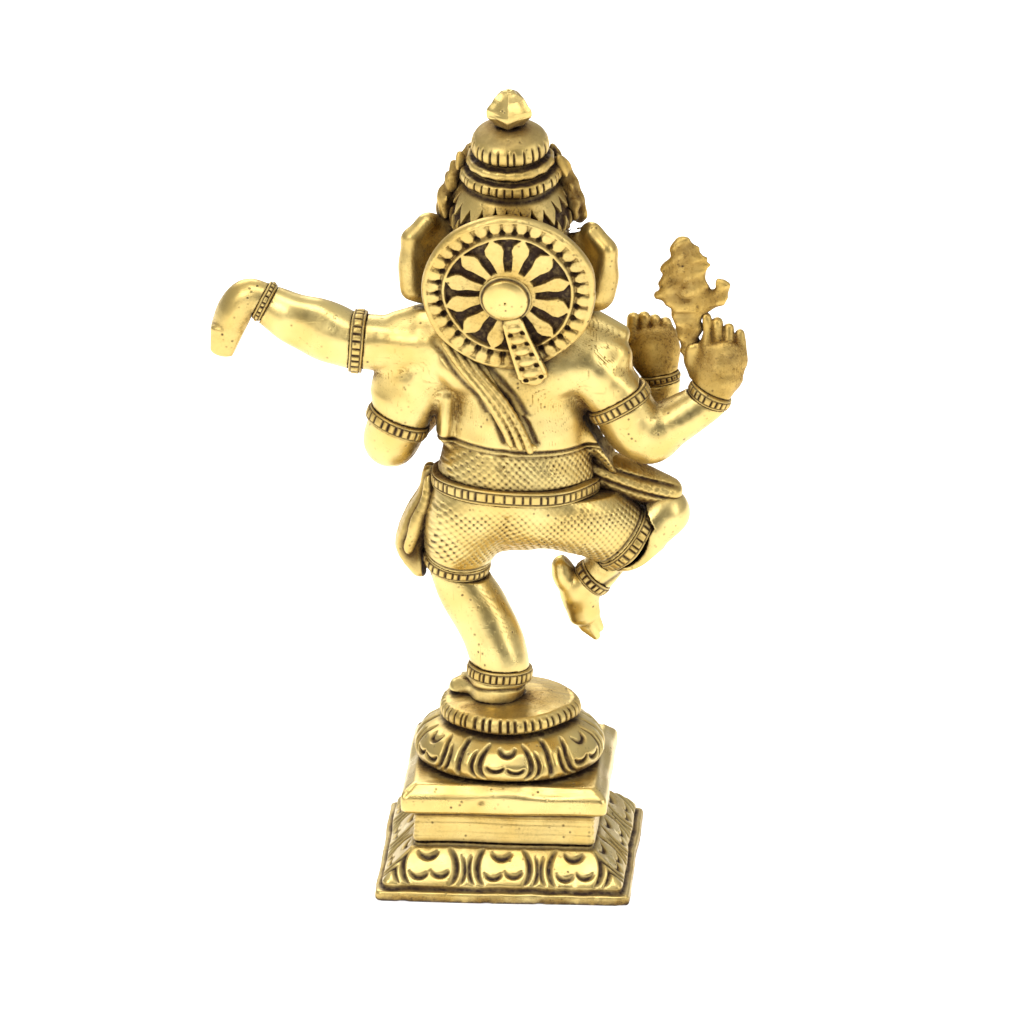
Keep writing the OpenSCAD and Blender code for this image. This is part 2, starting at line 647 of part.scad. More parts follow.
module head() {
    color(brass) difference() {
        union() {
            difference() {
                head_mass();
                torso_core(clear);
                torso_arms(clear);
            }
            peg(neck, 0, waist_peg_r);
        }
        on_wheel(-7) cylinder(r = peg_r + gap, h = 20);
        wheel_room();
        crown_room();
        for (side = [-1, 1]) tusk(side, clear);
        nose(clear);
    }
}

function nose_stations() = [[0, -9.6, 100.0, 3.8, 4.0], [0, -12.0, 95.4, 3.6, 3.4], [0.2, -14.0, 90.0, 3.0, 2.9],
    [1.6, -15.2, 85.4, 2.5, 2.4], [4.6, -15.8, 82.4, 2.0, 2.0], [8.2, -16.0, 82.6, 1.6, 1.6]];

module nose(by = 0) {
    limb(grown(nose_stations(), by), [0, -0.4, -0.9], [0.9, 0, 0.4], 3, [0, 1, 0.05]);
    blob([0, -10.0, 100.2], [4.0 + by, 3.8 + by, 3.6 + by]);
}

// The elephant's trunk, swung to the figure's left towards the sweet.
module trunk() {
    color(brass) nose();
}

function tusk_root(side) = [side * 4.4, -10.2, 95.4];

module tusk(side, by = 0) {
    link(tusk_root(side), 1.3 + by, tusk_root(side) + [side * 0.8, -1.8, -1.6], 1.15 + by);
    link(tusk_root(side) + [side * 0.8, -1.8, -1.6], 1.15 + by, tip_of_tusk(side), 0.7 + by);
}

// The figure's right tusk is whole and its left one is broken short.
function tip_of_tusk(side) = tusk_root(side) + (side < 0 ? [side * 1.6, -4.6, -2.6] : [side * 1.1, -2.8, -2.1]);

module tusks() {
    color(brass) difference() {
        union() {
            for (side = [-1, 1]) tusk(side);
        }
        nose(clear);
    }
}

// The figure's right ear hangs lower than its left one.
function ear_stations(side) = let (drop = side > 0 ? 0 : 1.4, taper = side > 0 ? 0 : 1.2) [
    [side * 8.6, -1.6, 100.4 - drop, 6.8, 1.6], [side * 12.6, -0.6, 100.6 - drop, 7.3, 1.4],
    [side * 15.2, 0.6, 100.7 - drop, 6.9 - taper / 2, 1.4], [side * 17.0, 1.6, 100.8 - drop, 5.6 - taper, 1.2]];

module ear_room(side, by = clear) {
    limb(grown(ear_stations(side), by), [side, 0, 0], [side, 0.4, 0], 3);
}

module ear(side) {
    color(brass) difference() {
        union() {
            ear_room(side, 0);
        }
        head_mass(clear);
        wheel_room();
        torso_core(clear);
        torso_arms(clear);
        crown_room();
    }
}

module left_ear() {
    ear(1);
}

module right_ear() {
    ear(-1);
}

// ---- Crown ---------------------------------------------------------------

crown_bell_h = 8.2;
lower_ring_h = 2.4;
upper_ring_h = 2.0;
cap_h = 5.0;
finial_h = 6.0;

module on_crown(height = 0) {
    translate(crown_at) rotate([-crown_lean, 0, 0]) translate([0, 0, height]) children();
}

module crown_room() {
    on_crown() rotate_extrude() polygon([[0, -2], [10.4, -2], [10.6, 0], [9.8, 3], [8.4, 8], [0, 8]]);
}

module crown_bell() {
    color(brass) difference() {
        on_crown() rotate_extrude() polygon([[peg_r + gap, 0], [9.2, 0], [10.0, 0.8], [10.1, 2.0], [9.2, 4.4],
            [8.0, 6.6], [7.4, crown_bell_h], [peg_r + gap, crown_bell_h]]);
        wheel_room();
    }
}

leaf_angles = [-62, -34, -6, 186, 214, 242, 270];

// Leaf lobes that stand out from both sides and the front of the crown.
module crown_leaves() {
    color(brass) difference() {
        on_crown() union() {
            for (angle = leaf_angles) rotate([0, 0, angle]) {
                link([10.0, 0, 1.4], [2.0, 2.4, 1.8], [9.2, 0, 5.4], [1.6, 1.8, 1.6], 6);
                link([9.2, 0, 5.4], [1.6, 1.8, 1.6], [7.6, 0, 11.6], [1.2, 1.0, 1.4], 6);
            }
        }
        on_crown() rotate_extrude() polygon([[0, -1], [9.2 + clear, -1], [9.2 + clear, 0], [10.1 + clear, 0.8],
            [10.1 + clear, 2.0], [9.2 + clear, 4.5], [8.2, 6.7], [8.2, crown_bell_h + lower_ring_h],
            [7.1, crown_bell_h + lower_ring_h], [7.1, 12.6], [6.2, 12.6], [6.2, 20], [0, 20]]);
        head_mass(clear);
        wheel_room();
        ear_room(1);
        ear_room(-1);
    }
}

module crown_ring(r, height, z) {
    color(brass) on_crown(z) rotate_extrude() polygon([[peg_r + gap, 0], [r - 0.6, 0], [r, 0.5], [r, height - 0.6],
        [r - 0.6, height], [peg_r + gap, height]]);
}

module crown_lower_ring() {
    crown_ring(8.1, lower_ring_h, crown_bell_h);
}

module crown_upper_ring() {
    crown_ring(7.0, upper_ring_h, crown_bell_h + lower_ring_h);
}

module crown_cap() {
    z = crown_bell_h + lower_ring_h + upper_ring_h;
    color(brass) on_crown(z) rotate_extrude() polygon([[peg_r + gap, 0], [5.6, 0], [6.1, 0.5], [6.0, 1.4], [5.2, 2.6],
        [3.8, 3.5], [2.4, 4.0], [2.1, cap_h], [peg_r + gap, cap_h]]);
}

// Faceted bud on top, with the long pin that holds the crown together.
module crown_finial() {
    z = crown_bell_h + lower_ring_h + upper_ring_h + cap_h;
    color(brass) on_crown() union() {
        translate([0, 0, 0.6]) cylinder(r = peg_r, h = z);
        translate([0, 0, z]) cylinder(r1 = 1.9, r2 = 3.0, h = 2.2, $fn = 7);
        translate([0, 0, z + 2.2]) cylinder(r1 = 3.0, r2 = 2.2, h = 2.0, $fn = 7);
        translate([0, 0, z + 4.2]) cylinder(r1 = 2.2, r2 = 0.6, h = finial_h - 4.2, $fn = 7);
    }
}

// ---- Wheel behind the head -----------------------------------------------

module on_wheel(out = 0) {
    translate(wheel_at) rotate([90 + wheel_lean, 0, 180]) translate([0, 0, out]) children();
}

module wheel_room() {
    on_wheel(-clear) cylinder(r = wheel_r + clear, h = 12);
}

module wheel() {
    color(brass) difference() {
        on_wheel() union() {
            rotate_extrude() polygon([[peg_r + gap, 0], [wheel_r - 0.3, 0], [wheel_r, 0.4], [wheel_r, wheel_t - 0.4],
                [wheel_r - 0.4, wheel_t], [wheel_r - 3.2, wheel_t], [wheel_r - 3.5, wheel_t - 0.6],
                [peg_r + gap, wheel_t - 0.6]]);
            for (k = [0 : petal_count - 1]) rotate([0, 0, (k + 0.5) * 360 / petal_count])
                translate([0, 0, wheel_t - 0.7]) linear_extrude(0.6) polygon([
                    [4.4, 0.4], [6.6, 0.6], [8.6, 1.7], [9.6, 0.9], [10.2, 0], [9.6, -0.9], [8.6, -1.7], [6.6, -0.6],
                    [4.4, -0.4]]);
        }
        on_wheel(wheel_t - 0.3) for (k = [0 : bead_count - 1]) rotate([0, 0, (k + 0.5) * 360 / bead_count])
            translate([wheel_r - 1.5, 0, 0]) cylinder(r = 0.4, h = 1);
    }
}

module wheel_boss() {
    color(brass) on_wheel() union() {
        translate([0, 0, -5.6]) cylinder(r = peg_r, h = 6);
        rotate_extrude() polygon([[0, wheel_t - 0.6], [4.1, wheel_t - 0.6], [4.1, wheel_t + 0.2], [3.5, wheel_t + 0.9],
            [2.2, wheel_t + 1.4], [0, wheel_t + 1.6]]);
        translate([0, 0, 0.2]) cylinder(r = peg_r, h = wheel_t);
    }
}

module wheel_ribbon() {
    long = 12.6;
    wide = 4.2;
    color(brass) difference() {
        on_wheel(wheel_t + clear) rotate([0, 0, 180 + ribbon_lean]) union() {
            translate([-wide / 2, 3.6, 0]) cube([wide, long - wide / 2 - 0.6, 1.1]);
            translate([0, long + 3.6 - wide / 2 - 0.6, 0]) cylinder(r = wide / 2, h = 1.1);
            for (k = [0 : 4]) translate([0, 5.2 + 2.3 * k, 1.1]) cylinder(r1 = 1.2, r2 = 0.8, h = 0.35, $fn = 24);
        }
        on_wheel() cylinder(r = 4.1 + clear, h = 6);
    }
}

// ---- Nodes ---------------------------------------------------------------

plinth();
plinth_slab();
lotus_cushion();
foot_disc();
tie_stud();
tie_washer();
tie_nut();
standing_foot();
standing_anklet();
standing_shin();
standing_knee_band();
shorts();
raised_knee_band();
raised_shin();
raised_anklet();
raised_foot();
waist_belt();
side_sash();
thigh_sash();
torso();
sacred_thread();
necklace();
rear_left_armlet();
rear_left_forearm();
rear_left_bracelet();
rear_left_hand();
front_left_armlet();
front_left_forearm();
front_left_bracelet();
front_left_hand();
sweet();
rear_right_armlet();
rear_right_forearm();
rear_right_bracelet();
rear_right_hand();
axe();
front_right_armlet();
front_right_forearm();
front_right_bracelet();
front_right_hand();
head();
trunk();
tusks();
left_ear();
right_ear();
crown_bell();
crown_leaves();
crown_lower_ring();
crown_upper_ring();
crown_cap();
crown_finial();
wheel();
wheel_boss();
wheel_ribbon();
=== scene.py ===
"""Cast-brass dancing figure on a lotus pedestal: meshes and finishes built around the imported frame.

All sculpting is done in millimetres in the frame's own axes: +Z up, the figure faces -Y and its own
left hand side is +X. Two kinds of casting are made. A Sculpt is a block of voxels that limbs, ovals
and cuts are blended into, meshed at its surface. A Tier is a profile swept round a circle or a square,
with chased relief pushed into it.
"""
import copy
import logging
import math
from dataclasses import dataclass
from enum import Enum
from functools import partial
from typing import Callable, Sequence

import bpy
import numpy as np
import openvdb
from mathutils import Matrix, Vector

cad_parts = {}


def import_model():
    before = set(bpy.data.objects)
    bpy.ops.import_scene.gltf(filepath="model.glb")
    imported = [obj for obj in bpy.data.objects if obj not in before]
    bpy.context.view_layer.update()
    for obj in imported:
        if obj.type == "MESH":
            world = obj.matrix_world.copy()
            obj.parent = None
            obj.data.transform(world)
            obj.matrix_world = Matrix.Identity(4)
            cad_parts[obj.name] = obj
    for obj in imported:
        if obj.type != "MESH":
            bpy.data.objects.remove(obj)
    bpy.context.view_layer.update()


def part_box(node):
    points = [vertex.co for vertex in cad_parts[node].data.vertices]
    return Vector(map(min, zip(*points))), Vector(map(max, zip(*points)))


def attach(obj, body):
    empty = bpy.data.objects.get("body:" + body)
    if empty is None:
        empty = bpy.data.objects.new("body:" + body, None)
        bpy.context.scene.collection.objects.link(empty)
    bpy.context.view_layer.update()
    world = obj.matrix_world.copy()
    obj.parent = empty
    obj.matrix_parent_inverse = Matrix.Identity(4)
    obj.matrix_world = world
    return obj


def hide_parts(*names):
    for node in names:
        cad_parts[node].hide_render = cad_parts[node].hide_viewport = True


MM = 0.001
# Distance fields hold no value above this, in millimetres
FAR = 6.0
SEED = 11
# Radii of the clearance holes for the tie stud, the pegs and the waist's larger peg, in millimetres
STUD_HOLE = 2.05
PEG_HOLE = 1.35
WAIST_HOLE = 2.65
LOG = logging.getLogger("figure")
Array = np.ndarray
Point = tuple[float, float, float]
Station = tuple[float, float, float, float, float]
Relief = Callable[[Array, Array, Array], Array]


# ---- Small mathematics ---------------------------------------------------------------------------

def unit(v: Sequence[float]) -> Array:
    """Returns the vector v at length 1."""
    v = np.asarray(v, dtype=np.float64)
    return v / np.linalg.norm(v)


def past(joint: "Joint", distance: float) -> Array:
    """Returns the point on a joint's axis at a distance beyond its plane."""
    return np.array(joint.at) + unit(joint.away) * distance


def soft_min(a: Array, b: Array, blend: float) -> Array:
    """Joins two distance fields with a fillet.

    Args:
        a: First field.
        b: Second field.
        blend: Width of the fillet in millimetres, or 0 for a sharp join.

    Returns:
        The joined field.
    """
    if blend <= 0:
        return np.minimum(a, b)
    h = np.clip(0.5 + 0.5 * (b - a) / blend, 0, 1)
    return b + (a - b) * h - blend * h * (1 - h)


def bump(x: Array, width: float) -> Array:
    """Returns a round bump of height 1 at x = 0 that fades within about a width."""
    return np.exp(-(x / width) ** 2)


def ramp(x: Array, low: float, high: float) -> Array:
    """Returns a smooth step from 0 at low to 1 at high."""
    t = np.clip((x - low) / (high - low), 0, 1)
    return t * t * (3 - 2 * t)


def waves(x: Array, y: Array, z: Array, size: float, seed: int = 0) -> Array:
    """Returns soft repeatable unevenness between about -1 and 1.

    Args:
        x, y, z: Coordinates in millimetres.
        size: Typical distance between high places, in millimetres.
        seed: Chooses another pattern.

    Returns:
        The value at each point.
    """
    rng = np.random.RandomState(SEED + seed)
    total = 0.0
    for _ in range(5):
        k = rng.normal(size=3)
        k = k / np.linalg.norm(k) * 2 * math.pi / size * rng.uniform(0.6, 1.5)
        total = total + np.sin(k[0] * x + k[1] * y + k[2] * z + rng.uniform(0, 2 * math.pi))
    return total / 3.0


def jitter(index: Array, seed: int) -> Array:
    """Returns a repeatable value between -1 and 1 for each whole number."""
    v = np.sin(index * 127.1 + seed * 311.7) * 43758.5453
    return 2 * (v - np.floor(v)) - 1


def uneven(size: float, seed: int) -> Relief:
    """Returns a relief of soft unevenness between about 0 and 1."""

    def relief(x: Array, y: Array, z: Array) -> Array:
        """Gives the depth at each point."""
        return 0.5 + 0.5 * waves(x, y, z, size, seed)

    return relief


def hand_made(points: Array) -> Array:
    """Moves points by the slow unevenness that handwork leaves, the same for every casting.

    Args:
        points: Points in millimetres, one to a row.

    Returns:
        The moved points.
    """
    x, y, z = points.T
    strength = 0.16
    moved = [axis + strength * waves(x, y, z, 13.0, 20 + i) for i, axis in enumerate((x, y, z))]
    moved[2] = z + (moved[2] - z) * ramp(z, 0.5, 8.0)
    return np.stack(moved, 1)


# ---- Shapes that a sculpt is blended from ---------------------------------------------------------

@dataclass
class Oval:
    """Ellipsoid.

    Attributes:
        at: Centre.
        radii: Three radii.
        turn: Angle about the X axis, then about the Y axis, then about the Z axis, in degrees.
    """
    at: Point
    radii: Point
    turn: Point = (0, 0, 0)

    def reach(self) -> tuple[Array, Array]:
        """Returns the lowest and highest corner that the shape can touch."""
        r = max(self.radii) if any(self.turn) else np.array(self.radii)
        return np.array(self.at) - r, np.array(self.at) + r

    def distance(self, x: Array, y: Array, z: Array) -> Array:
        """Returns the distance to the surface, negative inside."""
        px, py, pz = x - self.at[0], y - self.at[1], z - self.at[2]
        for axis, angle in enumerate(self.turn):
            if angle:
                c, s = math.cos(math.radians(angle)), math.sin(math.radians(angle))
                if axis == 0:
                    py, pz = c * py + s * pz, c * pz - s * py
                elif axis == 1:
                    px, pz = c * px - s * pz, c * pz + s * px
                else:
                    px, py = c * px + s * py, c * py - s * px
        q = np.sqrt((px / self.radii[0]) ** 2 + (py / self.radii[1]) ** 2 + (pz / self.radii[2]) ** 2)
        return (q - 1) * min(self.radii)


@dataclass
class Bone:
    """Straight tapered stretch with an oval section and round ends.

    Attributes:
        a: Station at one end: a point, then the radius across and the radius through.
        b: Station at the other end.
        ref: Direction that the first radius has no part along.
    """
    a: Station
    b: Station
    ref: Point = (0, 1, 0)

    def reach(self) -> tuple[Array, Array]:
        """Returns the lowest and highest corner that the shape can touch."""
        ends = np.array([self.a, self.b])
        r = ends[:, 3:].max()
        return ends[:, :3].min(0) - r, ends[:, :3].max(0) + r

    def distance(self, x: Array, y: Array, z: Array) -> Array:
        """Returns the distance to the surface, negative inside."""
        start, end = np.array(self.a[:3]), np.array(self.b[:3])
        run = end - start
        length = float(np.linalg.norm(run))
        t_axis = run / max(length, 1e-6)
        u = unit(np.cross(self.ref, t_axis))
        v = np.cross(t_axis, u)
        px, py, pz = x - start[0], y - start[1], z - start[2]
        s = px * t_axis[0] + py * t_axis[1] + pz * t_axis[2]
        t = np.clip(s / max(length, 1e-6), 0, 1)
        over = s - t * length
        pu = px * u[0] + py * u[1] + pz * u[2]
        pv = px * v[0] + py * v[1] + pz * v[2]
        ru = self.a[3] + (self.b[3] - self.a[3]) * t
        rv = self.a[4] + (self.b[4] - self.a[4]) * t
        small = np.minimum(ru, rv)
        q = np.sqrt((pu / ru) ** 2 + (pv / rv) ** 2 + (over / small) ** 2)
        return (q - 1) * small


@dataclass
class Wedge:
    """Box with rounded edges, turned to three axes of its own.

    Attributes:
        at: Centre.
        half: Half sizes along its own axes.
        ahead: Direction of its third axis.
        side: Direction near its first axis.
        soft: Radius of its edges.
    """
    at: Point
    half: Point
    ahead: Point = (0, 0, 1)
    side: Point = (1, 0, 0)
    soft: float = 0.3

    def reach(self) -> tuple[Array, Array]:
        """Returns the lowest and highest corner that the shape can touch."""
        r = float(np.linalg.norm(self.half))
        return np.array(self.at) - r, np.array(self.at) + r

    def distance(self, x: Array, y: Array, z: Array) -> Array:
        """Returns the distance to the surface, negative inside."""
        w = unit(self.ahead)
        v = unit(np.cross(w, self.side))
        u = np.cross(v, w)
        q = []
        for axis, half in zip((u, v, w), self.half):
            along = (x - self.at[0]) * axis[0] + (y - self.at[1]) * axis[1] + (z - self.at[2]) * axis[2]
            q.append(np.abs(along) - (half - self.soft))
        outside = np.sqrt(sum(np.maximum(d, 0) ** 2 for d in q))
        inside = np.minimum(np.maximum(np.maximum(q[0], q[1]), q[2]), 0)
        return outside + inside - self.soft


def spline(stations: Sequence[Sequence[float]], fine: int = 4) -> Array:
    """Runs a smooth curve through stations.

    Args:
        stations: Points with their radii.
        fine: Number of steps between two stations.

    Returns:
        The finer list of stations.
    """
    s = np.array(stations, dtype=np.float64)
    out = []
    for i in range(len(s) - 1):
        a, b, c, d = s[max(i - 1, 0)], s[i], s[i + 1], s[min(i + 2, len(s) - 1)]
        for k in range(fine):
            t = k / fine
            out.append(0.5 * (2 * b + (c - a) * t + (2 * a - 5 * b + 4 * c - d) * t * t
                              + (3 * b - a - 3 * c + d) * t ** 3))
    return np.array(out + [s[-1]])


# ---- Sculpted castings -----------------------------------------------------------------------------

@dataclass
class Joint:
    """Plane where an outer casting meets an inner one.

    Attributes:
        at: Point on the plane, in the middle of the limb.
        away: Direction away from the body.
        radius: Radius of the limb there.
    """
    at: Point
    away: Point
    radius: float


class Sculpt:
    """Block of voxels that one casting is sculpted in."""

    def __init__(self, low: Point, high: Point, step: float = 0.2) -> None:
        """Makes an empty block.

        Args:
            low: Lowest corner in millimetres.
            high: Highest corner in millimetres.
            step: Size of a voxel in millimetres.
        """
        self.low, self.step = np.array(low, dtype=np.float32), step
        count = [int(round((b - a) / step)) + 1 for a, b in zip(low, high)]
        axes = [np.arange(n, dtype=np.float32) * step + a for n, a in zip(count, self.low)]
        self.x, self.y, self.z = axes[0][:, None, None], axes[1][None, :, None], axes[2][None, None, :]
        self.field = np.full(count, FAR, dtype=np.float32)
        self.reliefs: list[tuple[Relief, float, float]] = []

    def _window(self, low: Array, high: Array, spare: float) -> tuple[slice, slice, slice]:
        """Returns the part of the block that a box with some spare room falls in."""
        a = np.clip(np.floor((low - spare - self.low) / self.step).astype(int), 0, self.field.shape)
        b = np.clip(np.ceil((high + spare - self.low) / self.step).astype(int) + 1, 0, self.field.shape)
        return tuple(slice(int(i), int(j)) for i, j in zip(a, b))

    def _near(self, shape: Oval | Bone | Wedge, blend: float) -> tuple[tuple[slice, slice, slice], Array]:
        """Returns the window around a shape and the shape's distances in it."""
        window = self._window(*shape.reach(), blend + 3 * self.step)
        i, j, k = window
        return window, shape.distance(self.x[i], self.y[:, j], self.z[:, :, k])

    def add(self, *shapes: Oval | Bone | Wedge, blend: float = 0.8) -> "Sculpt":
        """Blends shapes onto the casting."""
        for shape in shapes:
            window, d = self._near(shape, blend)
            self.field[window] = soft_min(self.field[window], d, blend)
        return self

    def carve(self, *shapes: Oval | Bone | Wedge, blend: float = 0.3) -> "Sculpt":
        """Takes shapes out of the casting."""
        for shape in shapes:
            window, d = self._near(shape, blend)
            self.field[window] = -soft_min(-self.field[window], d, blend)
        return self

    def limb(self, stations: Sequence[Station], blend: float = 0.8, ref: Point = (0, 1, 0),
             fine: int = 4) -> "Sculpt":
        """Blends a smooth limb through stations onto the casting."""
        s = spline(stations, fine)
        own = copy.copy(self)
        own.field = np.full(self.field.shape, FAR, dtype=np.float32)
        for a, b in zip(s[:-1], s[1:]):
            own.add(Bone(tuple(a), tuple(b), ref), blend=0.25)
        reach = s[:, 3:].max() + 1
        window = self._window(s[:, :3].min(0) - reach, s[:, :3].max(0) + reach, blend)
        self.field[window] = soft_min(self.field[window], own.field[window], blend)
        return self

    def end(self, at: Point, away: Point, radius: float = 0.0, blend: float = 0.0) -> "Sculpt":
        """Cuts off all that lies beyond a plane, or only what is within a radius of its point."""
        n = unit(away)
        d = (self.x - at[0]) * n[0] + (self.y - at[1]) * n[1] + (self.z - at[2]) * n[2]
        beyond = -d
        if radius:
            off = np.sqrt(np.maximum((self.x - at[0]) ** 2 + (self.y - at[1]) ** 2
                                     + (self.z - at[2]) ** 2 - d ** 2, 0))
            beyond = np.maximum(np.maximum(-d, off - radius), d - 2 * radius)
        self.field = -soft_min(-self.field, beyond, blend)
        return self

    def chase(self, relief: Relief, depth: float, dark: float = 1.0) -> "Sculpt":
        """Cuts a chased pattern into the surface.

        Args:
            relief: Gives 1 where the pattern is deepest and 0 where there is none.
            depth: Depth in millimetres; a negative one stands proud.
            dark: How much dark patina stays in the pattern, or beside the sacred thread, how much painted
                shadow.

        Returns:
            The sculpt itself.
        """
        self.field = self.field + depth * relief(self.x, self.y, self.z)
        self.reliefs.append((relief, depth, dark))
        return self

    def _hollowness(self, points: Array, reach: float) -> Array:
        """Returns how much metal surrounds each point, above 0 in hollows and below 0 on edges."""
        f = np.clip(self.field, -reach, reach)
        n = max(1, int(round(reach / self.step)))
        for axis in range(3):
            total = np.cumsum(np.pad(f, [(n + 1, n) if a == axis else (0, 0) for a in range(3)], mode="edge"),
                              axis=axis, dtype=np.float64)
            size = f.shape[axis]
            front = np.take(total, range(2 * n + 1, 2 * n + 1 + size), axis=axis)
            f = (front - np.take(total, range(size), axis=axis)) / (2 * n + 1)
        cell = np.clip(np.round((points - self.low) / self.step).astype(int), 0, np.array(f.shape) - 1)
        return -f[cell[:, 0], cell[:, 1], cell[:, 2]] / reach

    def piece(self, name: str) -> bpy.types.Object:
        """Meshes the casting's surface and returns it as an object with its patina worked out."""
        f = self.field
        for axis in range(3):
            edge = [slice(None)] * 3
            for side in (0, -1):
                edge[axis] = side
                f[tuple(edge)] = np.maximum(f[tuple(edge)], self.step)
        grid = openvdb.FloatGrid(background=FAR)
        grid.copyFromArray(np.clip(f, -FAR, FAR).astype(np.float32))
        grid.gridClass = openvdb.GridClass.LEVEL_SET
        points, quads = grid.convertToQuads(isovalue=0.0)
        points = points.astype(np.float64) * self.step + self.low
        x, y, z = points.T
        dark = np.zeros(len(points))
        for relief, depth, amount in self.reliefs:
            dark = np.maximum(dark, amount * np.broadcast_to(relief(x, y, z), x.shape))
        hollow = self._hollowness(points, 0.9)
        return make_piece(name, points, quads[:, ::-1], {"chased": dark, "hollow": hollow})


def make_piece(name: str, points: Array, quads: Array, values: dict[str, Array]) -> bpy.types.Object:
    """Makes a smooth-shaded object from points and quads.

    Args:
        name: Name of the piece.
        points: Points in millimetres.
        quads: Four point numbers for each face, anticlockwise from outside.
        values: Named values, one to a point, that the finishes read.

    Returns:
        The object, in metres.
    """
    mesh = bpy.data.meshes.new(name)
    mesh.vertices.add(len(points))
    mesh.vertices.foreach_set("co", (hand_made(points) * MM).astype(np.float32).ravel())
    mesh.loops.add(quads.size)
    mesh.loops.foreach_set("vertex_index", np.ascontiguousarray(quads, dtype=np.int32).ravel())
    mesh.polygons.add(len(quads))
    mesh.polygons.foreach_set("loop_start", np.arange(0, quads.size, 4, dtype=np.int32))
    mesh.update(calc_edges=True)
    mesh.validate()
    mesh.shade_smooth()
    for key, value in values.items():
        attribute = mesh.attributes.new(key, "FLOAT", "POINT")
        attribute.data.foreach_set("value", np.asarray(value, dtype=np.float32))
    piece = bpy.data.objects.new(name, mesh)
    bpy.context.scene.collection.objects.link(piece)
    return piece


# ---- Swept castings --------------------------------------------------------------------------------

class Outline(Enum):
    """Plan of a swept casting."""
    ROUND = "round"
    SQUARE = "square"


@dataclass
class Spot:
    """Where the points of a swept casting are, for its relief.

    Attributes:
        turn: Angle about the axis, in degrees.
        side: Distance along the side from its middle, in millimetres, on a square plan.
        face: Number of the side on a square plan.
        r: Distance from the axis, or half the width on a square plan.
        z: Height along the axis.
    """
    turn: Array
    side: Array
    face: Array
    r: Array
    z: Array

    def flat(self) -> tuple[Array, Array]:
        """Returns X and Y about the axis."""
        return self.r * np.cos(np.radians(self.turn)), self.r * np.sin(np.radians(self.turn))


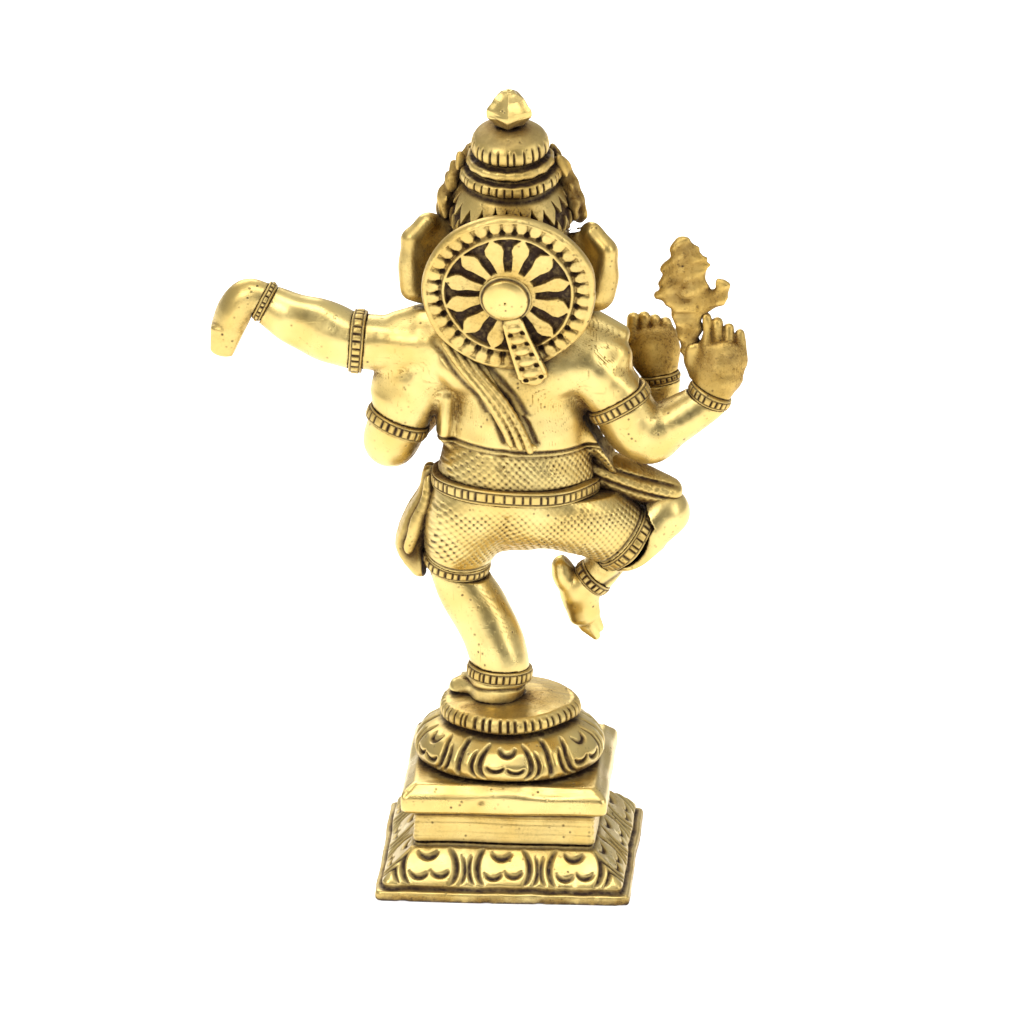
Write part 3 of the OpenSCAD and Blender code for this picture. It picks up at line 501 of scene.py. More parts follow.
@dataclass
class Tier:
    """Casting swept round an axis from a closed profile.

    Attributes:
        profile: Corners [distance from the axis, height] of the section, anticlockwise from inside low.
        outline: Plan of the casting.
        around: Number of steps round the axis.
        pitch: Distance between points along the profile, in millimetres.
        soft: Number of times the profile's corners are rounded.
        corner: Radius of a square plan's corners, in millimetres.
        hidden: Distance from the axis within which the section is coarse, since nothing shows there.
    """
    profile: list[tuple[float, float]]
    outline: Outline = Outline.ROUND
    around: int = 360
    pitch: float = 0.16
    soft: int = 2
    corner: float = 0.7
    hidden: float = 0.0

    def _section(self) -> Array:
        """Returns the profile with round corners, in even steps."""
        p = np.array(self.profile, dtype=np.float64)
        for _ in range(self.soft):
            q = np.roll(p, -1, 0)
            reach = np.minimum(0.25, 0.22 / np.maximum(np.linalg.norm(q - p, axis=1), 1e-6))[:, None]
            p = np.stack([p + (q - p) * reach, q - (q - p) * reach], 1).reshape(-1, 2)
        q = np.vstack([p, p[:1]])
        length = np.concatenate([[0], np.cumsum(np.linalg.norm(np.diff(q, axis=0), axis=1))])
        dense = np.linspace(0, length[-1], 4000)
        r = np.interp(dense, length, q[:, 0])
        want = np.cumsum(np.where(r > self.hidden, 1 / self.pitch, 1 / 1.5)) * length[-1] / 4000
        count = max(12, int(want[-1]))
        s = np.interp(np.linspace(want[0], want[-1], count, endpoint=False), want, dense)
        return np.stack([np.interp(s, length, q[:, 0]), np.interp(s, length, q[:, 1])], 1)

    def _plan(self, r: Array) -> tuple[Array, Array, Array, Array, Array]:
        """Returns X, Y, the turn, the place along the side and the side's number, for each r and step."""
        t = np.arange(self.around) / self.around
        if self.outline is Outline.ROUND:
            turn = 2 * math.pi * t
            x, y = r[:, None] * np.cos(turn), r[:, None] * np.sin(turn)
            zero = np.zeros_like(x)
            return x, y, zero + np.degrees(turn), zero, zero
        face = np.floor(t * 4)
        u = (t * 4 - face) * 2 - 1
        w = r[:, None]
        inner = np.maximum(w - self.corner, 0.0)
        qx, qy = w * u, w + 0 * u
        cx, cy = np.clip(qx, -inner, inner), inner + 0 * u
        dx, dy = qx - cx, qy - cy
        away = np.maximum(np.sqrt(dx * dx + dy * dy), 1e-6)
        reach = np.minimum(self.corner, w)
        px, py = cx + dx / away * reach, cy + dy / away * reach
        angle = -face * math.pi / 2
        x = px * np.cos(angle) - py * np.sin(angle)
        y = px * np.sin(angle) + py * np.cos(angle)
        return x, y, np.degrees(np.arctan2(y, x)), px, face + 0 * px

    def piece(self, name: str, relief: Callable[[Spot], tuple[Array, Array]] | None = None,
              place: "Place | None" = None) -> bpy.types.Object:
        """Makes the casting.

        Args:
            name: Name of the piece.
            relief: Gives how far the surface is pushed in, and how much dark stays there: patina, and on the
                slab also painted shade under its overhang.
            place: Where its axis stands, or None for the frame's own Z axis.

        Returns:
            The object.
        """
        section = self._section()
        r, z = section.T
        tangent = np.roll(section, -1, 0) - np.roll(section, 1, 0)
        tangent /= np.maximum(np.linalg.norm(tangent, axis=1, keepdims=True), 1e-9)
        normal = np.stack([tangent[:, 1], -tangent[:, 0]], 1)
        x, y, turn, side, face = self._plan(r)
        zz = z[:, None] + 0 * x
        dark = np.zeros_like(x)
        if relief:
            push, dark = relief(Spot(turn, side, face, r[:, None] + 0 * x, zz))
            rr = np.maximum(r[:, None] - normal[:, :1] * push, 0.05)
            x, y = x * rr / r[:, None], y * rr / r[:, None]
            zz = zz - normal[:, 1:] * push
        points = np.stack([x, y, zz], -1).reshape(-1, 3)
        if place:
            points = place.put(points)
        rows, cols = x.shape
        i, j = np.meshgrid(np.arange(rows), np.arange(cols), indexing="ij")
        a, b = i * cols + j, i * cols + (j + 1) % cols
        c, d = (i + 1) % rows * cols + (j + 1) % cols, (i + 1) % rows * cols + j
        quads = np.stack([a, b, c, d], -1).reshape(-1, 4)
        if self.outline is Outline.SQUARE:
            quads = quads[:, ::-1]
        bend = np.roll(normal, -1, 0) - np.roll(normal, 1, 0)
        edge = (bend * tangent).sum(1)[:, None] + 0 * x
        return make_piece(name, points, quads, {"chased": np.broadcast_to(dark, x.shape).ravel(),
                                                "hollow": -0.25 * edge.ravel()})


@dataclass
class Place:
    """Axis that a tier stands on.

    Attributes:
        at: Its foot.
        up: Its direction.
        front: Direction near the one that an angle of -90 degrees points in.
    """
    at: Point
    up: Point = (0, 0, 1)
    front: Point = (0, -1, 0)

    def put(self, points: Array) -> Array:
        """Returns points moved from the frame's Z axis to this axis."""
        w = unit(self.up)
        u = unit(np.cross(np.negative(self.front), w))
        v = np.cross(w, u)
        return np.array(self.at) + points[:, :1] * u + points[:, 1:2] * v + points[:, 2:] * w


# ---- Chased patterns -------------------------------------------------------------------------------

def arc_cut(a: Array, b: Array, at: tuple[float, float], radius: float, toward: float, spread: float,
            width: float) -> Array:
    """Gives a chisel cut along part of a circle, widest in its middle.

    Args:
        a, b: Coordinates on the surface in millimetres.
        at: Centre of the circle.
        radius: Its radius.
        toward: Direction of the cut's middle from the centre, in degrees.
        spread: Half the cut's length, in degrees.
        width: Half the cut's width at its middle.

    Returns:
        1 along the cut's deepest line, fading to 0.
    """
    da, db = a - at[0], b - at[1]
    off = (np.degrees(np.arctan2(db, da)) - toward + 180) % 360 - 180
    strength = np.sqrt(np.clip(1 - (off / spread) ** 2, 0, 1))
    return bump(np.hypot(da, db) - radius, width * (0.35 + 0.65 * strength)) * strength


def lotus_scroll(a: Array, b: Array, size: float, shift: float = 0.0) -> Array:
    """Gives one lotus petal: three crescents between rising pairs of arcs.

    Args:
        a, b: Coordinates from the middle of the petal, in millimetres.
        size: Half the height of the petal.
        shift: Small unevenness of the hand that cut it.

    Returns:
        1 where the cuts are deepest.
    """
    cuts = [arc_cut(a, b, (0.1 + shift, size * 0.98), size * 0.52, -90, 66, 0.36),
            arc_cut(a, b, (-size * 0.5, size * 0.06 + shift), size * 0.46, -90, 70, 0.32),
            arc_cut(a, b, (size * 0.48, size * 0.02), size * 0.46, -88, 70, 0.32)]
    for side in (-1, 1):
        toward = 90 - side * 90
        cuts.append(arc_cut(a, b, (side * size * 0.08, shift), size * 1.2, toward, 46, 0.38))
        cuts.append(0.9 * arc_cut(a, b, (side * size * 0.42, 0), size * 1.26, toward - side * 5, 34, 0.3))
    return np.max(cuts, axis=0)


def ticks(along: Array, pitch: float, width: float, seed: int = 1) -> Array:
    """Gives cross cuts at an uneven pitch along a band, 1 in the middle of each cut."""
    index = np.floor(along / pitch)
    best = np.zeros_like(along)
    for k in (-1, 0, 1):
        n = index + k
        middle = (n + 0.5 + 0.2 * jitter(n, seed)) * pitch
        best = np.maximum(best, bump(along - middle, width * (1 + 0.25 * jitter(n, seed + 1))))
    return best


def cross_hatch(x: Array, y: Array, z: Array, pitch: float = 0.86) -> Array:
    """Gives the crossed chisel lines of figured cloth, 1 where two lines cross and 0 between them."""
    wander = 0.12 * waves(x, y, z, 5.0, 7)
    k = 2 * math.pi / (pitch * math.sqrt(2))
    one = 0.5 + 0.5 * np.cos(k * (x + z + 0.55 * y + wander))
    two = 0.5 + 0.5 * np.cos(k * (x - z + 0.55 * y - wander))
    return np.clip(0.3 * np.maximum(one ** 4, two ** 4) + 0.95 * (one * two) ** 3, 0, 1)


@dataclass
class Band:
    """Ornament band round a limb, with ticks between two plain lips.

    Attributes:
        joint: Where it sits.
        width: Its width.
        proud: How far it stands out from the limb.
        pitch: Distance between ticks.
        lip: Width of each plain lip.
        seed: Chooses the unevenness of its ticks.
    """
    joint: Joint
    width: float
    proud: float = 0.4
    pitch: float = 1.22
    lip: float = 0.34
    seed: int = 1

    def build(self, name: str) -> bpy.types.Object:
        """Makes the band."""
        r, w = self.joint.radius + self.proud, self.width
        profile = [(PEG_HOLE, 0), (r - 0.35, 0), (r, 0.2), (r + 0.06, w / 2), (r, w - 0.2), (r - 0.35, w),
                   (PEG_HOLE, w)]
        count = max(12, round(2 * math.pi * r / self.pitch))

        def relief(p: Spot) -> tuple[Array, Array]:
            """Gives the cuts of the band and the dark left in them."""
            outer = ramp(p.r, r - 0.5, r - 0.25)
            low, high = self.lip - 0.05, self.lip + 0.1
            inside = ramp(p.z, low, high) * ramp(w - p.z, low, high)
            cut = ticks(p.turn / 360 * count + 0.01, 1.0, 0.16, self.seed) * inside
            dents = 0.1 * waves(p.turn / 360 * 40, 0 * p.r, p.z * 1.5, 7.0, 130 + self.seed) * outer
            line = np.maximum(bump(p.z - self.lip, 0.12), bump(w - p.z - self.lip, 0.12))
            cut = np.maximum(cut, 0.75 * line) * outer
            return 0.3 * cut + dents, np.clip(1.25 * cut, 0, 1)

        tier = Tier(profile, around=min(720, count * 14), pitch=0.12, soft=2)
        return tier.piece(name, relief, Place(self.joint.at, self.joint.away, (0, -1, 0.01)))


# ---- Finishes ---------------------------------------------------------------------------------------

def linear(colour: str) -> tuple[float, float, float, float]:
    """Turns an sRGB hex colour such as "#C9A24B" to linear RGBA."""
    parts = [int(colour[i:i + 2], 16) / 255 for i in (1, 3, 5)]
    return tuple(c / 12.92 if c <= 0.04045 else ((c + 0.055) / 1.055) ** 2.4 for c in parts) + (1.0,)


def add(tree: bpy.types.NodeTree, kind: str, links: dict | tuple = (), out: int | str = 0,
        **settings: object) -> bpy.types.NodeSocket | None:
    """Adds a node with its settings and links.

    Args:
        tree: Node tree to add to.
        kind: Node type without the "ShaderNode" that it starts with.
        links: For each input, by name, by number or in order, the socket to link from or the value to set.
        out: Name or number of the output that is wanted.
        settings: Properties of the node.

    Returns:
        That output, or None from a node that has none.
    """
    node = tree.nodes.new("ShaderNode" + kind)
    for key, value in settings.items():
        setattr(node, key, value)
    for key, value in links.items() if isinstance(links, dict) else enumerate(links):
        if isinstance(value, bpy.types.NodeSocket):
            tree.links.new(value, node.inputs[key])
        else:
            node.inputs[key].default_value = value
    return node.outputs[out] if node.outputs else None


def blank(material: bpy.types.Material | bpy.types.World) -> bpy.types.NodeTree:
    """Returns the node tree of a material or a world, emptied."""
    material.use_nodes = True
    material.node_tree.nodes.clear()
    return material.node_tree


PLUS = {"operation": "ADD", "use_clamp": True}
TIMES = {"operation": "MULTIPLY"}
LARGER = {"operation": "MAXIMUM", "use_clamp": True}
COLOURS = {"out": 2, "data_type": "RGBA"}


@dataclass(frozen=True)
class CastBrass:
    """Lost-wax cast brass, buffed by hand, with old polish and soot left in its hollows, and painted shade
    from ambient occlusion darkening its crevices and the places near other parts.

    Attributes:
        name: Name of the material.
        bright: Colour of the buffed metal.
        deep: Colour of the metal where the buff barely reached, also used as painted shade near other parts.
        patina: Colour of the dark layer in cuts and crevices, also used as painted shade in crevices.
        tarnish: Colour of the metal where it has gone warm from handling.
        wear: Roughness of the buffed metal.
        raw: Share of the surface that is left as it came from the mould.
        pits: Height of the casting pits, in millimetres.
        grain: Direction that the file and buff ran in, as three scales.
        scratch: Height of the file marks, in millimetres.
    """
    name: str
    bright: str = "#DFC883"
    deep: str = "#77531F"
    patina: str = "#321D07"
    tarnish: str = "#C7A24E"
    wear: float = 0.27
    raw: float = 0.3
    pits: float = 0.05
    grain: tuple[float, float, float] = (1.0, 1.0, 0.12)
    scratch: float = 0.012

    def build(self) -> bpy.types.Material:
        """Makes the material."""
        material = bpy.data.materials.new(self.name)
        node = partial(add, blank(material))
        mm = node("VectorMath", (node("TexCoord", out="Object"), (1 / MM,) * 3), operation="MULTIPLY")
        run = node("VectorMath", (mm, self.grain), operation="MULTIPLY")
        cloud = {}
        # What each cloud breaks up, its size in millimetres, its detail, its offset and its space
        for use, size, detail, seed, space in (
                ("blotch", 5.0, 4, 3, mm), ("speck", 0.9, 5, 8, mm), ("dots", 0.38, 3, 17, mm),
                ("pitted", 4.0, 2, 31, mm), ("handled", 8.0, 2, 50, mm), ("smear", 2.2, 5, 70, mm),
                ("marks", 0.22, 3, 90, run), ("grit", 0.45, 5, 110, mm)):
            moved = node("VectorMath", (space, (seed, seed * 1.7, -seed)), operation="ADD")
            cloud[use] = node("TexNoise", {"Vector": moved, "Scale": 1 / size, "Detail": detail,
                                           "Roughness": 0.6}, out="Fac")
        # The chased attribute carries the dark of cuts and lines, and also painted shade under the slab's
        # overhang and beside the sacred thread
        chased = node("Attribute", out="Fac", attribute_name="chased")
        hollow = node("Attribute", out="Fac", attribute_name="hollow")
        # Ambient occlusion, close and wide: painted shade where neighbouring metal blocks the light
        closed = node("AmbientOcclusion", {"Distance": 2.2 * MM}, out="AO", samples=6)
        wide_shade_ao = node("AmbientOcclusion", {"Distance": 7.0 * MM}, out="AO", samples=6)
        # Soot stays in cuts and crevices, with a broken edge where the buff has caught it; the close ambient
        # occlusion adds painted shade in crevices and between parts
        soot_and_shade = node("Math", (node("MapRange", (closed, 0.84, 0.42)), node("MapRange", (hollow, 0.12, 0.38))),
                    **PLUS)
        soot_and_shade = node("Math", (soot_and_shade, node("MapRange", (cloud["speck"], 0.3, 0.58, 0.45, 1.2))), **TIMES)
        cut = node("Math", (chased, node("MapRange", (cloud["speck"], 0.2, 0.6, 0.6, 1.1))), **TIMES)
        soot_and_shade = node("Math", (soot_and_shade, cut), **LARGER)
        # Skin of the casting, dull and brownish, shows where the buff could not reach; the wide ambient
        # occlusion adds painted shade as brown patches near other parts
        skin = node("Math", (node("MapRange", (wide_shade_ao, 0.93, 0.5)), node("MapRange", (hollow, 0.03, 0.2))),
                    **PLUS)
        skin = node("Math", (skin, self.raw - 0.35), **PLUS)
        skin = node("Math", (skin, node("MapRange", (cloud["blotch"], 0.36, 0.6, 0.25, 1.35))), **TIMES)
        skin = node("Math", (skin, node("MapRange", (hollow, -0.25, -0.05, 0.15, 1.0))), **TIMES)
        grime = node("MapRange", (cloud["dots"], 0.5, 0.62))
        grime = node("Math", (grime, node("Math", (skin, 0.75), **TIMES)), **TIMES)
        # Gas pits about a millimetre apart, in patches
        cells = node("TexVoronoi", {"Vector": mm, "Scale": 1 / 1.1}, out="Distance", feature="F1")
        pits = node("MapRange", (cells, 0.26, 0.1))
        pits = node("Math", (pits, node("MapRange", (cloud["pitted"], 0.5, 0.66))), **TIMES)
        metal = node("Mix", {"Factor": skin, 6: linear(self.bright), 7: linear(self.deep)}, **COLOURS)
        handled = node("MapRange", (cloud["handled"], 0.35, 0.7, 0, 0.55))
        metal = node("Mix", {"Factor": handled, 6: metal, 7: linear(self.tarnish)}, **COLOURS)
        grime = node("Math", (grime, node("Math", (pits, 0.85), **TIMES)), **LARGER)
        soot_and_shade = node("Math", (soot_and_shade, grime), **LARGER)
        colour = node("Mix", {"Factor": soot_and_shade, 6: metal, 7: linear(self.patina)}, **COLOURS)
        rough = node("Math", (node("MapRange", (skin, 0, 1, self.wear, self.wear + 0.26)),
                              node("MapRange", (soot_and_shade, 0, 1, 0, 0.3))), **PLUS)
        rough = node("Math", (rough, node("MapRange", (cloud["smear"], 0.35, 0.7, 0, 0.12))), **PLUS)
        # File marks run one way; fine grit lies over them on the skin, and the pits go in
        height = node("Math", (node("Math", (cloud["marks"], self.scratch), **TIMES), 0.5), **PLUS)
        grit = node("Math", (node("Math", (cloud["grit"], skin), **TIMES), 0.11), **TIMES)
        height = node("Math", (height, grit), **PLUS)
        height = node("Math", (height, node("Math", (pits, self.pits), **TIMES)), operation="SUBTRACT")
        normal = node("Bump", {"Height": height, "Distance": 1.0 * MM, "Strength": 1.0})
        bare = node("MapRange", (soot_and_shade, 0.1, 0.9, 1.0, 0.35))
        shader = node("BsdfPrincipled", {"Base Color": colour, "Metallic": bare, "Roughness": rough,
                                         "Normal": normal})
        node("OutputMaterial", {"Surface": shader})
        return material


@dataclass(frozen=True)
class ZincSteel:
    """Zinc-plated mild steel, rolled thread and punched washer, bright with a bluish passivated skin.

    Attributes:
        name: Name of the material.
        bright: Colour of fresh zinc.
        dull: Colour of zinc that has gone grey.
        crystal: Size of a zinc crystal, in millimetres, which gives a faint mottle.
        film: Size of a patch of dull zinc, in millimetres.
        thread: Pitch of the thread, in millimetres.
    """
    name: str = "zinc_plated_steel"
    bright: str = "#AEB3BA"
    dull: str = "#7C8088"
    crystal: float = 0.8
    film: float = 10 / 3
    thread: float = 0.7

    def build(self) -> bpy.types.Material:
        """Makes the material."""
        material = bpy.data.materials.new(self.name)
        node = partial(add, blank(material))
        place = node("TexCoord", out="Object")
        cells = node("TexVoronoi", {"Vector": place, "Scale": 1 / (self.crystal * MM)}, out="Color")
        film = node("TexNoise", {"Vector": place, "Scale": 1 / (self.film * MM), "Detail": 4.0}, out="Fac")
        share = node("Math", (film, cells), **TIMES)
        colour = node("Mix", {"Factor": share, 6: linear(self.bright), 7: linear(self.dull)}, **COLOURS)
        rough = node("MapRange", {"Value": film, "To Min": 0.28, "To Max": 0.5})
        # The wave turns 20 radians for each unit of its scale
        turns = 2 * math.pi / (20 * self.thread * MM)
        thread = node("TexWave", {"Vector": place, "Scale": turns, "Distortion": 0.0}, out="Fac",
                      bands_direction="Z")
        height = node("Math", (thread, film), **TIMES)
        normal = node("Bump", {"Height": height, "Distance": 0.15 * MM, "Strength": 1.0})
        shader = node("BsdfPrincipled", {"Base Color": colour, "Metallic": 1.0, "Roughness": rough,
                                         "Normal": normal})
        node("OutputMaterial", {"Surface": shader})
        return material


class Finish(Enum):
    """Finishes of the figure's castings."""
    # Limbs and cloth, buffed on a mop: broad soft highlights, brown only in the hollows
    BUFFED = CastBrass("buffed_cast_brass")
    # Bands and rings, cut with a chisel and only brushed: duller, with dark cuts
    CHASED = CastBrass("chased_cast_brass", wear=0.31, raw=0.48, bright="#D9C07A", pits=0.09)
    # Hands, axe and leaves as they left the mould: brown, pitted and nearly without highlights
    AS_CAST = CastBrass("unpolished_cast_brass", wear=0.34, raw=0.85, bright="#D2B36A", pits=0.12)
    # Plinth and slab, drawn with a flat file: bright planes with level streaks
    FILED = CastBrass("filed_cast_brass", raw=0.34, scratch=0.03, grain=(0.12, 0.12, 1.0), wear=0.26)
    # Stud, washer and nut under the plinth
    TIE = ZincSteel()


class Slot(Enum):
    """Material slots of the record."""
    FIGURE = "figure_brass"
    PEDESTAL = "pedestal_brass"
    TIE = "tie_steel"


class Foundry:
    """Finishes each casting, hides its CAD node and parents the casting to the root."""

    def __init__(self) -> None:
        """Makes the finishes once."""
        self.materials = {finish: finish.value.build() for finish in Finish}

    def fit(self, piece: bpy.types.Object, node: str, finish: Finish, slot: Slot = Slot.FIGURE) -> None:
        """Gives a casting its material, hides the CAD node that it stands for and parents the casting to the
        root.

        Args:
            piece: The casting.
            node: Name of the CAD node.
            finish: Its finish.
            slot: The record's material slot; not used.
        """
        piece.data.materials.clear()
        piece.data.materials.append(self.materials[finish])
        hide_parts(node)
        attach(piece, "root")
        LOG.info("%s: %d faces", piece.name, len(piece.data.polygons))

    def cast(self, sculpt: Sculpt, node: str, finish: Finish = Finish.BUFFED) -> None:
        """Meshes a sculpt as the casting of a node, with a finish."""
        self.fit(sculpt.piece(node + "_casting"), node, finish)

    def dress_node(self, node: str, finish: Finish) -> None:
        """Gives a CAD node that stays as it is its finish."""
        piece = bpy.data.objects[node]
        while len(piece.material_slots) < 1:
            piece.data.materials.append(None)
        for own in piece.material_slots:
            own.material = self.materials[finish]
        LOG.info("%s keeps its own mesh", node)


# ---- Pedestal ---------------------------------------------------------------------------------------

@dataclass
class Pedestal:
    """Square plinth and slab, lotus cushion, ticked disc, and the bolt that ties them.

    Attributes:
        foundry: Where the castings are finished.
        petal_gap: Distance between lotus petals on the plinth's slope.
        lobes: Number of petals round the cushion.
        slot_pitch: Distance between the slots in the disc's rim.
    """
    foundry: Foundry
    petal_gap: float = 11.6
    lobes: int = 6
    slot_pitch: float = 1.42

    def plinth(self) -> None:
        """Makes the flared plinth with its chased petals."""
        low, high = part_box("plinth")
        half, top = (high[0] - low[0]) / 2 / MM, high[2] / MM
        inner, roof = 12.2, top - 2.4
        profile = [(STUD_HOLE, roof), (inner, roof), (inner, 0), (half - 0.5, 0), (half, 0.25), (half, 1.25),
                   (half - 0.25, 1.8), (half - 0.95, 2.1), (half - 1.2, 2.9), (half - 2.4, 4.3),
                   (half - 4.0, 5.9), (half - 5.4, 7.2), (half - 5.9, top), (STUD_HOLE, top)]

        def relief(p: Spot) -> tuple[Array, Array]:
            """Gives three petals a side, cut between a groove at the foot and a line at the top."""
            out = ramp(p.r, inner + 1.0, inner + 1.6)
            band = ramp(p.z, 2.1, 2.5) * ramp(top - 0.15 - p.z, 0, 0.5) * out
            up = (p.z - 2.3) * 1.2
            nearest = np.round(np.clip(p.side / self.petal_gap, -1, 1))
            wide = p.side - self.petal_gap * nearest
            number = nearest + 4 * p.face
            shift = 0.25 * jitter(number, 3)
            cut = lotus_scroll(wide + shift, up - 3.1, 3.3, 0.15) * ramp(half - 1.6 - np.abs(p.side), 0, 1.2)
            groove = bump(p.z - 2.15 - 0.1 * waves(p.side, p.face * 9, 0 * p.z, 3.0, 5), 0.3) * out
            last = bump(p.z - (top - 0.3), 0.28) * out
            dents = 0.1 * ramp(waves(p.side, p.face * 7, p.z, 5.0, 9), 0.4, 1.0) * out
            cut = cut * band
            push = 0.5 * cut + 0.4 * groove + 0.3 * last + dents
            return push, np.clip(np.maximum(np.maximum(1.3 * cut, groove), 0.8 * last), 0, 1)

        tier = Tier(profile, Outline.SQUARE, around=720, pitch=0.19, corner=1.0, hidden=inner + 0.5)
        self.foundry.fit(tier.piece("plinth_casting", relief), "plinth", Finish.FILED, Slot.PEDESTAL)

    def slab(self) -> None:
        """Makes the overhanging slab and the drawn-in waist below it."""
        low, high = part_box("plinth_slab")
        half, foot, top = (high[0] - low[0]) / 2 / MM, low[2] / MM, high[2] / MM
        waist, under = 14.3, top - 4.9
        profile = [(STUD_HOLE, foot), (waist + 0.35, foot), (waist + 0.05, foot + 0.9),
                   (waist - 0.05, under - 1.0), (waist + 0.3, under - 0.25), (half - 0.9, under + 0.05),
                   (half - 0.1, under + 0.5), (half, under + 1.4), (half, under + 3.1),
                   (half - 0.35, under + 3.8), (half - 1.8, top), (STUD_HOLE, top)]

        def relief(p: Spot) -> tuple[Array, Array]:
            """Gives the uneven upper edge, file streaks on the waist, one nick in the front edge, a dark line
            at the foot, and painted shade on the top of the waist under the overhang.
            """
            out = ramp(p.r, 12.0, 13.0)
            wobble = waves(p.side, p.face * 11, p.z, 7.0, 14)
            edge = bump(p.z - (under + 4.0), 1.0) * (0.25 + 0.2 * wobble) * out
            streaks = 0.07 * waves(p.side * 0.15, p.face, p.z * 3.2, 2.6, 15)
            streaks = streaks * ramp(under - p.z, 0, 0.4) * out
            foot_line = bump(p.z - foot - 0.1, 0.4) * out
            nick = bump(p.side - 3.4, 0.5) * bump(p.z - under - 2.4, 0.3) * (p.face == 0)
            # Dark in the foot line and the nick, and painted shade where the overhang shades the top of the
            # waist
            shade = np.clip(bump(p.z - under + 0.2, 0.45) + foot_line + 0.8 * nick, 0, 1)
            return edge + streaks + 0.25 * foot_line + 0.25 * nick, shade * (p.r < half - 0.5) + 0.6 * nick

        tier = Tier(profile, Outline.SQUARE, around=600, pitch=0.2, corner=1.1, hidden=10.0)
        self.foundry.fit(tier.piece("slab_casting", relief), "plinth_slab", Finish.FILED, Slot.PEDESTAL)

    def lotus(self) -> None:
        """Makes the round cushion with its chased petals."""
        low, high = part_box("lotus_cushion")
        r, foot, top = (high[0] - low[0]) / 2 / MM, low[2] / MM, high[2] / MM
        profile = [(STUD_HOLE, foot), (r - 1.6, foot), (r - 0.5, foot + 0.45), (r, foot + 1.6),
                   (r - 0.3, foot + 3.0), (r - 1.6, foot + 4.7), (r - 3.6, foot + 5.9), (r - 5.2, top),
                   (STUD_HOLE, top)]

        def relief(p: Spot) -> tuple[Array, Array]:
            """Gives the petals round the cushion, the gaps between them, and the crease at head and foot."""
            out = ramp(p.r, 9.2, 10.2)
            step = 360 / self.lobes
            number = np.round((p.turn - 90) / step)
            wide = np.radians(p.turn - 90 - number * step) * (r - 1.0)
            up = (p.z - foot) * 1.12
            cut = lotus_scroll(wide + 0.2 * jitter(number, 8), up - 3.6, 3.25, 0.1)
            band = ramp(p.z, foot + 0.5, foot + 1.1) * ramp(top - 0.3 - p.z, 0, 0.6) * out
            between = bump(np.abs(wide) - math.pi * (r - 1.0) / self.lobes, 0.42) * out
            between = between * ramp(p.z, foot + 0.6, foot + 2)
            cut = np.maximum(cut * band, 0.9 * between * band)
            crease = np.maximum(bump(p.z - top, 0.5), bump(p.z - foot, 0.35)) * out
            return 0.7 * cut + 0.25 * crease, np.clip(np.maximum(1.5 * cut, crease), 0, 1)

        tier = Tier(profile, around=760, pitch=0.16, hidden=8.5)
        self.foundry.fit(tier.piece("lotus_casting", relief), "lotus_cushion", Finish.BUFFED, Slot.PEDESTAL)

    def disc(self) -> None:
        """Makes the disc under the foot, its rim slotted all round."""
        low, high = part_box("foot_disc")
        r, foot, top = (high[0] - low[0]) / 2 / MM, low[2] / MM, high[2] / MM
        profile = [(STUD_HOLE, foot), (r - 0.9, foot), (r - 0.1, foot + 0.5), (r, foot + 1.3),
                   (r - 0.25, foot + 2.2), (r - 1.0, foot + 2.8), (r * 0.55, top - 0.1), (STUD_HOLE, top)]
        count = round(2 * math.pi * r / self.slot_pitch)

        def relief(p: Spot) -> tuple[Array, Array]:
            """Gives the slots in the rim, its unevenness, and brush streaks across the top."""
            rim = ramp(p.r, r - 1.5, r - 0.8)
            height = ramp(p.z, foot + 0.25, foot + 0.6) * ramp(foot + 2.75 - p.z, 0, 0.4)
            cut = ticks(p.turn / 360 * count + 0.01, 1.0, 0.15, 4) * rim * height
            wobble = 0.22 * waves(p.turn / 360 * 50, 0 * p.r, 0 * p.z, 14.0, 33) * rim
            x, y = p.flat()
            streak = 0.04 * waves(0.2 * x, y, 0 * p.z, 2.2, 6) * ramp(p.z, top - 1.2, top - 0.9)
            low_line = bump(p.z - foot, 0.35) * rim
            push = 0.5 * cut + wobble + streak + 0.2 * low_line
            return push, np.clip(np.maximum(1.35 * cut, low_line), 0, 1)

        tier = Tier(profile, around=720, pitch=0.15, hidden=2.6)
        self.foundry.fit(tier.piece("foot_disc_casting", relief), "foot_disc", Finish.CHASED, Slot.PEDESTAL)

    def build(self) -> None:
        """Makes the whole pedestal."""
        self.plinth()
        self.slab()
        self.lotus()
        self.disc()
        for node in ("tie_stud", "tie_washer", "tie_nut"):
            self.foundry.dress_node(node, Finish.TIE)


# ---- Legs and hips ----------------------------------------------------------------------------------

WIDE_BAND = 2.2
KNEE_BAND = 2.0
SLIM_BAND = 1.5
WRIST_BAND = 1.9
BELT_W = 2.4
ANKLE_L = Joint((1.4, 1.5, 33.8), (0.1, 0, -1), 4.7)
KNEE_L = Joint((8.2, -1.5, 51.0), (0.17, -0.2, -1), 5.1)
KNEE_R = Joint((-17.8, -2.6, 54.6), (-0.76, -0.15, -0.63), 5.5)
ANKLE_R = Joint((-13.6, -6.2, 46.5), (0.7, 0, -0.7), 2.9)
WAIST = Joint((-0.9, -0.4, 63.2), (-0.03, 0, 1), 12.6)
ARM_REAR_L = Joint((22.8, 0.2, 87.1), (1, -0.02, 0.08), 4.6)
WRIST_REAR_L = Joint((38.0, -0.8, 92.8), (0.9, -0.06, 0.42), 3.2)
ARM_FRONT_L = Joint((17.2, -0.2, 75.0), (0.35, -0.05, -0.93), 4.8)
WRIST_FRONT_L = Joint((13.6, -10.6, 72.4), (-0.42, -0.86, 0.3), 2.7)
ARM_REAR_R = Joint((-16.7, 0.2, 79.0), (-0.5, -0.05, -0.86), 4.9)
WRIST_REAR_R = Joint((-31.2, -1.8, 77.6), (-0.45, -0.06, 0.89), 3.2)
